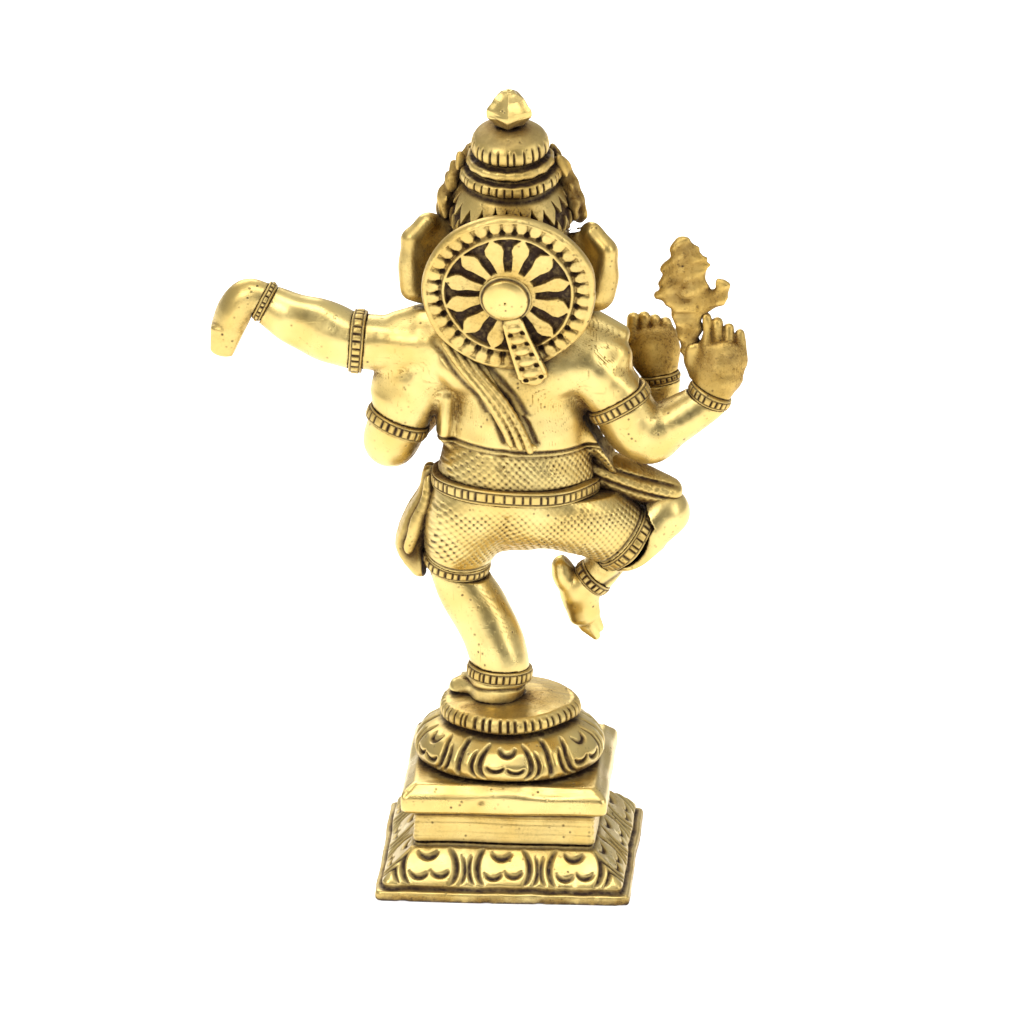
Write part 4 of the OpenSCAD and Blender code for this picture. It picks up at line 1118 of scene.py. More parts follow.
ARM_FRONT_R = Joint((-13.8, -8.6, 79.4), (-0.7, -0.3, -0.62), 3.3)
WRIST_FRONT_R = Joint((-23.4, -11.6, 77.2), (0.2, -0.1, 0.97), 2.9)
NECK = Joint((0, -0.6, 91.6), (0, -0.1, 1), 4.6)


def start_of(sculpt: Sculpt, joint: Joint, width: float, radius: float = 0.0) -> Sculpt:
    """Cuts an outer casting off square where its band ends.

    Args:
        sculpt: The casting.
        joint: Joint that the band sits on.
        width: Width of the band.
        radius: Reach of the cut from the joint's axis, or 0 to cut everything.

    Returns:
        The same sculpt.
    """
    return sculpt.end(tuple(past(joint, width)), tuple(-v for v in joint.away), radius)


@dataclass
class Legs:
    """Both legs, from the standing foot to the shorts.

    Attributes:
        foundry: Where the castings are finished.
        sole_z: Height of the standing foot's sole.
    """
    foundry: Foundry
    sole_z: float = 28.45

    def standing_foot(self) -> None:
        """Makes the standing foot and its five toes."""
        low, top = self.sole_z, past(ANKLE_L, WIDE_BAND)
        s = Sculpt((-4, -10.5, low - 0.4), (12.5, 7.5, low + 4.8), 0.17)
        s.limb([(*top, 4.35, 4.35), (1.7, 1.3, 30.0, 4.1, 4.4), (2.2, 1.0, low, 3.9, 4.6)])
        s.add(Bone((1.5, 3.2, low + 1.2, 3.1, 2.0), (4.4, -2.6, low + 1.1, 3.4, 1.9)),
              Bone((3.5, -0.5, low + 2.0, 2.6, 3.0), (8.0, -1.2, low + 0.2, 1.6, 2.0)), blend=1.2)
        for toe in range(5):
            root = (4.4 + 0.5 * toe, -3.4 + 0.5 * toe, low + 0.8, 1.15, 1.15)
            tip = (3.4 + toe, -7.6 + 0.5 * toe, low + 0.6, 0.9 - 0.05 * toe, 0.9 - 0.05 * toe)
            s.add(Bone(root, tip, (0, 0, 1)), blend=0.35)
            s.carve(Oval((tip[0] - 0.1, tip[1] - 0.45, tip[2] + 0.75), (0.42, 0.5, 0.28)), blend=0.1)

        def heel(x: Array, y: Array, z: Array) -> Array:
            """Gives the crease over the heel."""
            return bump(z - 30.6 - 0.25 * waves(x, y, z, 6.0, 3), 0.22) * ramp(y, -1.0, 0.5)

        s.chase(heel, 0.3, 0.9)
        start_of(s, ANKLE_L, WIDE_BAND).end((0, 0, low), (0, 0, -1))
        self.foundry.cast(s, "standing_foot")

    def standing_shin(self) -> None:
        """Makes the standing shin."""
        top = past(KNEE_L, KNEE_BAND)
        s = Sculpt((-5, -9, 31.5), (15.5, 8.5, 52.5), 0.2)
        s.limb([(*past(KNEE_L, 0.5), 4.6, 4.8), (*top, 4.6, 4.8), (7.3, -1.2, 46.0, 4.65, 4.8),
                (5.0, -0.6, 42.2, 4.75, 4.8), (2.7, 0.7, 38.2, 4.65, 4.7), (1.4, 1.5, 33.8, 4.6, 4.6),
                (1.5, 1.5, 32.4, 4.6, 4.6)])
        s.chase(uneven(7.0, 41), 0.3, 0.0)
        start_of(s, KNEE_L, KNEE_BAND).end(ANKLE_L.at, ANKLE_L.away)
        self.foundry.cast(s, "standing_shin")

    def shorts(self) -> None:
        """Makes the hips in their cross-hatched shorts."""
        s = Sculpt((-26, -11.5, 46), (16.5, 11.5, 65), 0.19)
        s.limb([(-0.6, -0.6, 59.4, 3.6, 4.0), (-0.8, -0.6, 60.0, 9.0, 7.4), (-0.8, -0.6, 61.2, 11.6, 8.6),
                (-0.9, -0.4, 63.2, 12.5, 9.5),
                (-0.9, -0.4, 66.0, 12.4, 9.5)], blend=1.0)
        s.limb([(5.0, 0.2, 62.0, 6.6, 7.6), (6.4, -0.2, 58.0, 6.9, 7.6), (7.5, -1.0, 54.6, 6.1, 6.5),
                (8.2, -1.5, 51.0, 5.05, 5.05), (8.5, -1.8, 49.3, 5.0, 5.0)], blend=1.4)
        s.limb([(-3.4, 0.2, 61.4, 6.3, 7.4), (-8.6, 0.4, 59.9, 6.7, 7.6), (-13.6, -1.2, 57.7, 6.1, 6.6),
                (-17.8, -2.6, 54.6, 5.4, 5.4), (-19.6, -3.0, 53.2, 5.3, 5.3)], blend=1.4)
        s.add(Oval((5.6, 3.6, 59.6), (5.6, 4.6, 4.6)), Oval((-5.4, 3.6, 59.4), (5.8, 4.6, 4.4)), blend=1.6)
        s.carve(Bone((0.2, 9.4, 54.6, 0.6, 1.9), (0.0, 9.9, 60.4, 0.25, 0.7)),
                Oval((0.2, 8.4, 52.6), (2.0, 4.5, 2.6)), Oval((-1.6, 0, 49.2), (2.6, 7.5, 3.0)), blend=1.5)

        def cloth(x: Array, y: Array, z: Array) -> Array:
            """Gives the hatching, worn in patches and fading out above the thighs."""
            hem_l = ramp((x - 8.2) * 0.17 - (y + 1.5) * 0.2 - (z - 51.0), -2.2, -1.6)
            share = 1 - 0.85 * ramp(z - 1.4 * waves(x, y, z, 9.0, 60), 60.8, 62.6)
            worn = 0.55 + 0.45 * ramp(waves(x, y, z, 7.0, 61), -0.6, 0.4)
            return cross_hatch(x, y, z) * share * worn * (1 - hem_l * (x > 2))

        def hem(x: Array, y: Array, z: Array) -> Array:
            """Gives the hem line of each leg."""
            left = bump((x - 8.2) * 0.17 - (y + 1.5) * 0.19 - (z - 51.0) * 0.97 + 0.5, 0.25)
            right = bump(-(x + 17.8) * 0.76 - (y + 2.6) * 0.15 - (z - 54.6) * 0.63 + 0.5, 0.25)
            return np.maximum(left * (x > 1) * (z < 55), right * (x < -12))

        s.chase(cloth, 0.24, 0.95).chase(hem, 0.3, 0.9)
        s.end(KNEE_L.at, KNEE_L.away, 7.0).end(KNEE_R.at, KNEE_R.away, 7.5).end(WAIST.at, WAIST.away)
        self.foundry.cast(s, "shorts")

    def raised_shin(self) -> None:
        """Makes the bent knee and the shin that comes back down from it."""
        s = Sculpt((-30, -11, 44), (-10, 1.5, 63.5), 0.2)
        s.limb([(*past(KNEE_R, 0.5), 5.0, 5.2), (*past(KNEE_R, WIDE_BAND), 4.9, 5.2),
                (-22.0, -3.6, 55.6, 4.2, 4.9), (-24.2, -4.2, 57.6, 4.0, 4.2)])
        s.add(Bone((-24.4, -4.0, 58.2, 3.8, 4.0), (-23.0, -5.0, 57.0, 3.5, 4.2)), blend=1.0)
        s.limb([(-22.6, -4.8, 57.2, 3.5, 4.3), (-19.4, -5.6, 54.5, 3.4, 4.2), (-16.4, -6.1, 50.9, 3.2, 3.8),
                (-13.6, -6.2, 46.5, 2.9, 2.9), (-12.9, -6.2, 45.8, 2.9, 2.9)], blend=1.0)
        s.carve(Bone((-26.9, -1.0, 49.4, 4.0, 4.5), (-21.0, -1.0, 45.6, 4.0, 4.5)), blend=1.4)

        def crook(x: Array, y: Array, z: Array) -> Array:
            """Gives the crease in the crook of the knee."""
            return bump((x + 20.6) * 0.6 + (z - 52.6) * 0.8 + 2.2, 0.35) * ramp(y, -6, -3)

        s.chase(crook, 0.35, 1.0)
        s.carve(Bone((*past(KNEE_R, -7), 6.7, 6.7), (*past(KNEE_R, -1.9), 6.7, 6.7)), blend=0.1)
        start_of(s, KNEE_R, WIDE_BAND, 6.4).end(ANKLE_R.at, ANKLE_R.away)
        self.foundry.cast(s, "raised_shin")

    def raised_foot(self) -> None:
        """Makes the raised foot, its toes pointing down."""
        top = past(ANKLE_R, KNEE_BAND)
        s = Sculpt((-17.5, -10, 34), (-5.5, -3, 50), 0.16)
        s.limb([(*past(ANKLE_R, 0.6), 2.7, 2.7), (*top, 2.7, 2.7), (-11.0, -6.3, 43.7, 2.9, 2.6)])
        s.add(Bone((-8.2, -6.2, 46.2, 1.7, 1.9), (-10.8, -6.4, 43.0, 2.9, 2.4)),
              Bone((-10.8, -6.4, 43.0, 3.0, 2.4), (-11.6, -6.8, 39.4, 2.6, 1.9)),
              Bone((-8.0, -6.2, 47.6, 1.7, 1.8), (-8.4, -6.2, 45.6, 1.7, 1.9)), blend=0.8)
        for toe in range(5):
            s.add(Bone((-10.2 - 0.7 * toe, -6.8, 39.4, 0.95, 0.95),
                       (-11.6 - 0.6 * toe, -7.2, 36.9 - 0.45 * (toe % 4), 0.72, 0.72)), blend=0.3)
        start_of(s, ANKLE_R, KNEE_BAND)
        self.foundry.cast(s, "raised_foot")

    def bands(self) -> None:
        """Makes the ticked bands of both legs."""
        wide = {"standing_anklet": Band(ANKLE_L, WIDE_BAND, 0.5, 1.1, seed=2),
                "standing_knee_band": Band(KNEE_L, KNEE_BAND, 0.35, 1.2, seed=3),
                "raised_knee_band": Band(KNEE_R, WIDE_BAND, 0.35, 1.2, seed=4),
                "raised_anklet": Band(ANKLE_R, KNEE_BAND, 0.4, 1.1, seed=5)}
        for node, band in wide.items():
            self.foundry.fit(band.build(node + "_casting"), node, Finish.CHASED)

    def build(self) -> None:
        """Makes the legs."""
        self.standing_foot()
        self.standing_shin()
        self.shorts()
        self.raised_shin()
        self.raised_foot()
        self.bands()


# ---- Waist, torso and drapery ----------------------------------------------------------------------

@dataclass
class Body:
    """The body from the belt to the neck, with its cloths, thread and necklace.

    Attributes:
        foundry: Where the castings are finished.
        links: Number of links in the belt.
    """
    foundry: Foundry
    links: int = 58

    def belt(self) -> None:
        """Makes the belt of small links."""
        half, ratio = WAIST.radius + 0.9, 10.6 / (WAIST.radius + 0.9)
        profile = [(WAIST_HOLE, 0), (half - 0.4, 0), (half - 0.05, 0.2), (half, BELT_W / 2),
                   (half - 0.05, BELT_W - 0.2), (half - 0.4, BELT_W), (WAIST_HOLE, BELT_W)]

        def relief(p: Spot) -> tuple[Array, Array]:
            """Gives the gaps between links and the line along each lip."""
            rim = ramp(p.r, half - 0.7, half - 0.4)
            inside = ramp(p.z, 0.42, 0.62) * ramp(BELT_W - p.z, 0.42, 0.62)
            cut = ticks(p.turn / 360 * self.links + 0.01, 1.0, 0.13, 6) * inside
            line = np.maximum(bump(p.z - 0.42, 0.12), bump(BELT_W - p.z - 0.42, 0.12))
            dark = np.maximum(cut, 0.85 * line) * rim
            return 0.34 * dark, np.clip(1.3 * dark, 0, 1)

        tier = Tier(profile, around=self.links * 13, pitch=0.12, hidden=11.0)
        piece = tier.piece("waist_belt_casting", relief, Place(WAIST.at, WAIST.away, (0, -1, 0)))
        for vertex in piece.data.vertices:
            vertex.co.y = WAIST.at[1] * MM + (vertex.co.y - WAIST.at[1] * MM) * ratio
        self.foundry.fit(piece, "waist_belt", Finish.CHASED)

    def torso(self) -> None:
        """Makes the torso with the roots of its four arms."""
        low = past(WAIST, BELT_W)
        s = Sculpt((-20.5, -15.5, 64.8), (25.5, 11.5, 93.2), 0.23)
        s.limb([(*past(WAIST, 0.5), 12.3, 9.3), (*low, 12.4, 9.4), (-1.2, -1.0, 69.0, 11.8, 9.4),
                (-1.3, -2.4, 74.0, 11.6, 10.6), (-1.0, -1.6, 80.0, 10.8, 9.4), (-0.3, -0.2, 85.4, 11.0, 7.6),
                (0, 0.2, 89.2, 8.4, 6.2), (0, -0.6, 91.6, 4.8, 4.8), (0, -0.7, 92.6, 4.7, 4.7)], fine=3)
        s.add(Bone((-1.3, -6.2, 75.2, 9.2, 8.4), (-1.3, -6.2, 72.0, 9.4, 8.2)), blend=1.6)
        s.limb([(6.0, 0.2, 86.8, 4.8, 5.0), (12.0, 0.6, 87.4, 4.9, 4.9), (17.4, 0.4, 87.0, 4.5, 4.6),
                (22.8, 0.2, 87.1, 4.45, 4.45), (24.4, 0.2, 87.2, 4.4, 4.4)], blend=1.6, fine=3)
        s.limb([(9.6, 0.0, 86.4, 5.6, 5.0), (14.2, 0.0, 80.8, 5.1, 4.8), (17.2, -0.2, 75.0, 4.75, 4.65),
                (17.8, -0.3, 73.4, 4.7, 4.6)], blend=0.7, fine=3)
        s.limb([(-6.0, 0.2, 86.6, 5.0, 5.0), (-11.6, 0.6, 84.6, 5.4, 5.2), (-16.7, 0.2, 79.0, 4.85, 4.85),
                (-17.5, 0.1, 77.6, 4.8, 4.8)], blend=1.4, fine=3)
        s.limb([(-7.0, -3.0, 84.6, 3.8, 3.8), (-11.2, -6.6, 81.8, 3.5, 3.5), (-13.8, -8.6, 79.4, 3.2, 3.2),
                (-14.8, -9.1, 78.5, 3.2, 3.2)], blend=0.9, fine=3)
        # Shoulders fuller towards the neck
        s.add(Bone((12.5, 0, 91.4, 2.6, 2.6), (17.5, 0, 90.2, 2.0, 2.4)), Bone((-10.6, 0, 89.4, 3.0, 3.4),
              (-16.2, 0.2, 85.4, 3.3, 3.4)), Bone((17.0, 0, 84.5, 3.6, 3.6), (17.8, 0, 78.6, 4.2, 4.0)),
              Bone((-12.5, -1.5, 91.0, 2.2, 2.6), (-17.6, -2.0, 88.4, 1.6, 2.2)),
              Bone((9.7, 0.5, 79.0, 1.9, 4.0), (9.9, 0.5, 72.5, 1.6, 4.0)),
              Bone((-12.0, -0.5, 73.0, 1.8, 3.0), (-16.6, -1.5, 67.2, 1.7, 2.6)), blend=1.0)
        # Shoulder blades, the furrow of the spine, and the fold under each breast
        s.add(Oval((6.2, 4.6, 84.6), (5.0, 3.2, 4.0)), Oval((-6.6, 4.4, 83.8), (5.0, 3.2, 4.0)),
              Oval((5.2, -5.4, 83.4), (4.4, 3.2, 2.8)), Oval((-5.4, -5.4, 83.4), (4.4, 3.2, 2.8)), blend=1.6)
        s.carve(Bone((0.6, 10.4, 70.0, 0.8, 1.4), (0.2, 9.6, 81.0, 0.6, 1.1)), blend=1.4)
        s.carve(Oval((-1.3, -14.9, 73.0), (0.8, 1.2, 0.55)), blend=0.5)
        s.carve(Bone((12.6, 6.2, 79.4, 0.6, 0.9), (14.4, 5.4, 75.6, 0.5, 0.7)), blend=0.6)

        def edge_z(x: Array, y: Array) -> Array:
            """Gives the height of the cloth's upper edge."""
            return 71.8 + 0.05 * x - 1.2 * ramp(-y, 2, 10)

        def cloth(x: Array, y: Array, z: Array) -> Array:
            """Gives the hatching below the edge, worn in patches."""
            worn = 0.6 + 0.4 * ramp(waves(x, y, z, 6.0, 71), -0.7, 0.2)
            return cross_hatch(x, y, z) * ramp(edge_z(x, y) - 0.5 - z, 0, 0.5) * worn

        def edges(x: Array, y: Array, z: Array) -> Array:
            """Gives the two lines of the cloth's edge, which fade out under the arms."""
            top = edge_z(x, y) + 0.15 * waves(x, y, z, 9.0, 72)
            sides = ramp(np.abs(x + 1.2), 16.0, 12.5)
            return np.maximum(bump(z - top, 0.24), 0.7 * bump(z - top + 0.75, 0.2)) * sides

        def thread_shadow_grooves(x: Array, y: Array, z: Array) -> Array:
            """Gives the grooves at either side of the sacred thread, darkened as painted shadow of the
            thread.
            """
            middle = np.interp(z, (73.0, 76.6, 81.0, 85.6, 89.0), (-2.4, -1.0, 1.8, 5.8, 8.4))
            off = (x - middle) * np.where(z > 78, 0.72, 0.92)
            grooves = np.maximum(bump(off - 2.35, 0.4), bump(off + 2.35, 0.4))
            return grooves * ramp(y, 4, 6) * ramp(z, 72.6, 73.4) * ramp(90.5 - z, 0, 1)

        def folds(x: Array, y: Array, z: Array) -> Array:
            """Gives the fold over the belly."""
            line = bump(z - 79.2 - 0.25 * np.abs(x + 0.5), 0.3)
            return line * ramp(-y, 5.0, 7.5) * ramp(np.abs(x + 0.4), 9.0, 7.0)

        s.chase(cloth, 0.24, 0.95).chase(edges, 0.34, 0.95).chase(folds, 0.3, 0.6)
        # The grooves beside the sacred thread are cut in and darkened as painted shadow of the thread
        s.chase(thread_shadow_grooves, 0.25, 0.85).chase(uneven(8.0, 73), 0.22, 0.0)
        start_of(s, WAIST, BELT_W)
        for joint in (ARM_REAR_L, ARM_FRONT_L, ARM_REAR_R, ARM_FRONT_R):
            s.end(joint.at, joint.away, joint.radius + 1.4)
        s.end(NECK.at, NECK.away, 7.0)
        self.foundry.cast(s, "torso")

    def sashes(self) -> None:
        """Makes the cloth that hangs at the hip and the rolled one over the raised thigh."""
        s = Sculpt((10.5, -9, 46.5), (19.5, 3.5, 66.5), 0.18)
        s.limb([(12.8, -2.0, 64.6, 1.2, 3.0), (13.0, -2.2, 61.0, 1.8, 4.0), (14.7, -2.8, 56.6, 2.3, 4.6),
                (15.9, -3.2, 52.2, 2.3, 4.2), (14.3, -3.0, 48.4, 1.7, 3.0)])

        def pleats(x: Array, y: Array, z: Array) -> Array:
            """Gives the two long pleats of the sash."""
            return np.maximum(bump(y - 0.2 - 0.3 * waves(x, y, z, 8.0, 80), 0.42),
                              0.7 * bump(y + 3.4 - 0.1 * (z - 56), 0.4))

        s.chase(pleats, 0.6, 1.0)
        s.carve(Bone((*past(KNEE_L, 0), 5.6, 5.6), (*past(KNEE_L, KNEE_BAND), 5.6, 5.6)), blend=0.1)
        self.foundry.cast(s, "side_sash", Finish.CHASED)
        s = Sculpt((-29, -9.5, 57.0), (-8, 2.5, 71), 0.19)
        s.limb([(-9.8, -3.4, 66.6, 2.6, 3.0), (-14.8, -3.2, 65.2, 3.0, 3.6), (-20.2, -3.6, 63.0, 2.9, 3.6),
                (-25.2, -4.1, 61.5, 2.1, 2.8)])

        def cloth(x: Array, y: Array, z: Array) -> Array:
            """Gives the hatching of the outer face."""
            return 0.7 * cross_hatch(x, y, z, 0.9) * ramp(y, -2.5, -1.0)

        def rolls(x: Array, y: Array, z: Array) -> Array:
            """Gives the two lines between the rolls of cloth."""
            up = z - 64.6 - 0.36 * (x + 15.5)
            return np.maximum(bump(up, 0.3), bump(up - 2, 0.24)) * ramp(y, -4, -2)

        s.chase(cloth, 0.16, 0.6).chase(rolls, 0.42, 1.0)
        self.foundry.cast(s, "thigh_sash", Finish.CHASED)

    def cords(self) -> None:
        """Makes the three-strand thread on the back and the necklace."""
        path = [(8.4, 6.6, 89.0), (5.8, 8.0, 85.6), (1.8, 9.0, 81.0), (-1.0, 9.3, 76.6), (-2.4, 9.2, 73.0)]
        s = Sculpt((-8, 3.5, 71.0), (12, 11.5, 91.5), 0.16)
        for strand in (-1, 0, 1):
            shift = np.array((-1.5 * strand, -0.1 * abs(strand), -0.5 * strand))
            s.limb([(*(np.array(point) + shift), 0.6, 0.75) for point in path], blend=0.05)
        s.add(Bone((5.0, 7.3, 86.0, 1.5, 0.4), (-2.3, 8.4, 73.0, 1.6, 0.4)), blend=0.1)
        s.add(Bone((-2.0, 9.0, 74.0, 0.6, 0.6), (-4.6, 8.7, 72.8, 0.5, 0.5)), blend=0.3)
        self.foundry.cast(s, "sacred_thread", Finish.CHASED)
        s = Sculpt((-11.5, -12, 81), (11.5, -1.5, 92.5), 0.18)
        path = [(9.0, -3.6, 90.0), (6.6, -7.3, 86.6), (0, -9.4, 83.8), (-6.6, -7.3, 86.6), (-9.0, -3.6, 90.0)]
        for x, y, z, *_ in spline(path, 7):
            s.add(Oval((x, y, z), (0.95, 0.95, 0.95)), blend=0.12)
        s.add(Oval((0, -10.0, 82.6), (1.6, 0.9, 1.8)), blend=0.2)
        s.carve(Oval((0, -10.9, 82.6), (0.7, 0.35, 0.8)), blend=0.1)
        self.foundry.cast(s, "necklace", Finish.CHASED)

    def build(self) -> None:
        """Makes the body."""
        self.belt()
        self.torso()
        self.sashes()
        self.cords()


# ---- Arms and what they hold -------------------------------------------------------------------------

@dataclass
class Arms:
    """Four forearms and hands, their bands, the sweet and the axe.

    Attributes:
        foundry: Where the castings are finished.
        sweet_at: Middle of the sweet.
        sweet_r: Radius of the sweet.
    """
    foundry: Foundry
    sweet_at: Point = (10.4, -15.4, 77.6)
    sweet_r: float = 2.2

    def rear_left(self) -> None:
        """Makes the arm held straight out, its hand hanging from the wrist."""
        s = Sculpt((22, -6, 81.5), (41, 6, 98), 0.19)
        s.limb([(*past(ARM_REAR_L, 0.8), 4.45, 4.4), (*past(ARM_REAR_L, WIDE_BAND), 4.4, 4.4),
                (29.0, -0.2, 88.6, 4.8, 4.2), (34.0, -0.4, 90.6, 4.2, 3.6), (38.0, -0.8, 92.5, 3.3, 2.9),
                (39.4, -0.9, 93.4, 3.1, 2.8)])
        s.chase(uneven(8.0, 90), 0.25, 0.0)
        start_of(s, ARM_REAR_L, WIDE_BAND).end(WRIST_REAR_L.at, WRIST_REAR_L.away)
        self.foundry.cast(s, "rear_left_forearm")
        top = past(WRIST_REAR_L, SLIM_BAND)
        s = Sculpt((38, -7.5, 82), (49.5, 3.5, 98.5), 0.16)
        s.limb([(*past(WRIST_REAR_L, 0.5), 2.7, 2.6), (*top, 2.75, 2.65), (41.4, -1.2, 93.4, 3.1, 2.9),
                (43.4, -1.5, 91.0, 3.0, 3.3), (44.6, -1.8, 87.6, 2.7, 3.3)])
        for f in (-1.5, -0.5, 0.5, 1.5):
            s.add(Bone((44.6, -1.8 + 1.5 * f, 88.4, 2.6, 1.25),
                       (45.2, -2.0 + 1.35 * f, 84.3 + 0.4 * abs(f), 2.1, 1.1)), blend=0.22)
        s.add(Bone((42.6, -4.2, 91.0, 1.2, 1.2), (42.0, -5.0, 87.8, 0.9, 0.9)), blend=0.4)
        start_of(s, WRIST_REAR_L, SLIM_BAND)
        self.foundry.cast(s, "rear_left_hand", Finish.CHASED)

    def front_left(self) -> None:
        """Makes the bent arm that reaches forward with the sweet."""
        s = Sculpt((9, -14, 64.5), (24.5, 5, 77), 0.2)
        s.limb([(*past(ARM_FRONT_L, 0.8), 4.6, 4.5), (*past(ARM_FRONT_L, WIDE_BAND), 4.6, 4.5),
                (18.9, -1.0, 70.4, 4.2, 4.2), (18.6, -2.6, 68.9, 3.4, 3.6)])
        s.add(Bone((18.9, -0.8, 70.4, 4.1, 4.1), (18.0, -3.4, 69.8, 3.7, 3.7), (0, 0, 1)), blend=0.8)
        s.limb([(18.2, -2.6, 69.9, 3.7, 3.7), (16.6, -6.0, 70.7, 3.3, 3.3), (13.6, -10.6, 72.4, 2.6, 2.6),
                (12.9, -11.9, 72.9, 2.6, 2.6)], ref=(0, 0, 1))
        start_of(s, ARM_FRONT_L, WIDE_BAND, 7).end(WRIST_FRONT_L.at, WRIST_FRONT_L.away)
        self.foundry.cast(s, "front_left_forearm")
        top = past(WRIST_FRONT_L, SLIM_BAND)
        s = Sculpt((4.5, -22.5, 70), (16.5, -10, 79), 0.16)
        s.limb([(*past(WRIST_FRONT_L, 0.4), 2.4, 2.2), (*top, 2.4, 2.2), (11.6, -14.0, 73.8, 2.6, 2.0),
                (10.4, -16.0, 74.6, 2.3, 1.4)], ref=(0, 0, 1))
        ahead, side = unit((-0.5, -0.8, 0.35)), unit((0.75, -0.6, 0.1))
        palm = np.array((10.6, -15.6, 74.4))
        for f in (-1.5, -0.5, 0.5, 1.5):
            root = palm + side * f * 1.05 + ahead * 0.6
            mid = root + ahead * 1.6
            tip = mid + ahead * 1.0 + np.array((0, 0, 1.1))
            s.add(Bone((*root, 0.78, 0.78), (*mid, 0.72, 0.72), (0, 0, 1)),
                  Bone((*mid, 0.72, 0.72), (*tip, 0.6, 0.6)), blend=0.2)
        thumb, nail = palm + side * 1.6, palm + side * 3.1 + ahead * 0.9
        s.add(Bone((*thumb, 0.8, 0.8), (*nail, 0.62, 0.62)), blend=0.3)
        s.carve(Oval(self.sweet_at, (self.sweet_r + 0.12,) * 3), blend=0.05)
        start_of(s, WRIST_FRONT_L, SLIM_BAND)
        self.foundry.cast(s, "front_left_hand", Finish.CHASED)

    def sweet(self) -> None:
        """Makes the pleated sweet with its pinched top."""
        x0, y0, z0 = self.sweet_at
        s = Sculpt((x0 - 3, y0 - 3, z0 - 2.6), (x0 + 3, y0 + 3, z0 + 4.2), 0.14)
        s.add(Oval(self.sweet_at, (self.sweet_r,) * 3),
              Bone((x0, y0, z0 + 1.4, 1.3, 1.3), (x0, y0, z0 + 3.0, 0.4, 0.4)), blend=0.5)

        def pleats(x: Array, y: Array, z: Array) -> Array:
            """Gives the twelve pleats that run up to the top."""
            turn = np.arctan2(y - y0, x - x0)
            return (0.5 + 0.5 * np.cos(12 * turn)) ** 2 * ramp(z, z0 - 1, z0 + 0.6)

        s.chase(pleats, 0.25, 0.8)
        self.foundry.cast(s, "sweet", Finish.CHASED)

    def rear_right(self) -> None:
        """Makes the raised arm with the axe in its hand."""
        s = Sculpt((-36.5, -7, 66), (-13.5, 6, 80.5), 0.2)
        s.limb([(*past(ARM_REAR_R, 0.8), 4.8, 4.7), (*past(ARM_REAR_R, WIDE_BAND), 4.8, 4.7),
                (-19.8, -0.2, 73.6, 4.7, 4.6), (-22.0, -0.6, 71.4, 3.9, 4.2)])
        s.add(Bone((-20.4, -0.3, 73.2, 4.5, 4.5), (-23.2, -0.7, 72.2, 3.9, 4.1)), blend=0.9)
        s.limb([(-22.6, -0.6, 72.4, 3.9, 4.2), (-26.6, -1.2, 74.7, 3.6, 4.0), (-31.2, -1.8, 77.6, 3.1, 3.1),
                (-31.8, -1.9, 79.0, 3.1, 3.1)])
        start_of(s, ARM_REAR_R, WIDE_BAND, 7).end(WRIST_REAR_R.at, WRIST_REAR_R.away)
        self.foundry.cast(s, "rear_right_forearm")
        top = past(WRIST_REAR_R, WRIST_BAND)
        s = Sculpt((-39.5, -7, 77.5), (-26, 2, 93), 0.16)
        s.limb([(*past(WRIST_REAR_R, 0.6), 3.0, 2.8), (*top, 3.0, 2.8), (-33.2, -2.0, 82.0, 3.8, 2.4),
                (-33.8, -2.2, 85.8, 3.8, 2.0)])
        for f in range(4):
            s.add(Bone((-31.2 - 1.7 * f, -2.2, 86.4 - 0.4 * f, 1.2, 1.2),
                       (-30.8 - 1.8 * f, -3.0, 91.0 - 0.9 * f, 0.98, 0.98)), blend=0.15)
        s.add(Bone((-31.4, -3.8, 82.4, 1.3, 1.3), (-28.0, -5.2, 85.0, 0.9, 0.9)), blend=0.4)
        s.add(Bone((-30.8, -2.6, 79.6, 1.9, 1.8), (-28.9, -3.2, 85.6, 2.0, 1.6)), blend=1.0)
        s.carve(Bone((-29.2, -3.4, 83.4, 1.0, 1.0), (-28.2, -3.0, 93.4, 2.3, 1.3)), blend=0.05)
        s.chase(uneven(4.0, 95), 0.3, 0.15)
        start_of(s, WRIST_REAR_R, WRIST_BAND)
        self.foundry.cast(s, "rear_right_hand", Finish.AS_CAST)

    def axe(self) -> None:
        """Makes the flat blade with its spear point, barb and hook."""
        s = Sculpt((-37.5, -6, 81.5), (-21, 0.5, 106), 0.17)
        s.limb([(-28.7, -3.3, 84.0, 1.5, 1.0), (-28.0, -3.0, 92.4, 3.0, 1.1), (-27.7, -3.0, 94.8, 3.9, 1.15),
                (-27.7, -3.0, 96.8, 4.4, 1.2), (-27.8, -2.9, 99.6, 3.8, 1.1), (-27.3, -2.7, 102.5, 2.4, 0.95),
                (-27.1, -2.6, 104.0, 1.2, 0.75)], blend=0.1)
        s.add(Bone((-25.6, -3.0, 94.9, 1.5, 1.0), (-23.3, -3.0, 94.6, 0.9, 0.8), (0, 1, 0)), blend=0.7)
        s.add(Bone((-30.4, -3.0, 93.8, 1.8, 1.0), (-33.0, -3.0, 94.3, 1.6, 0.9), (0, 1, 0)),
              Bone((-33.0, -3.0, 95.0, 1.5, 0.85), (-33.6, -3.0, 96.8, 1.2, 0.75), (0, 1, 0)), blend=0.5)
        s.carve(Oval((-31.7, -3.0, 98.0), (0.7, 3, 1.3)), blend=0.3)
        s.chase(uneven(2.4, 96), 0.28, 0.3)
        self.foundry.cast(s, "axe", Finish.AS_CAST)

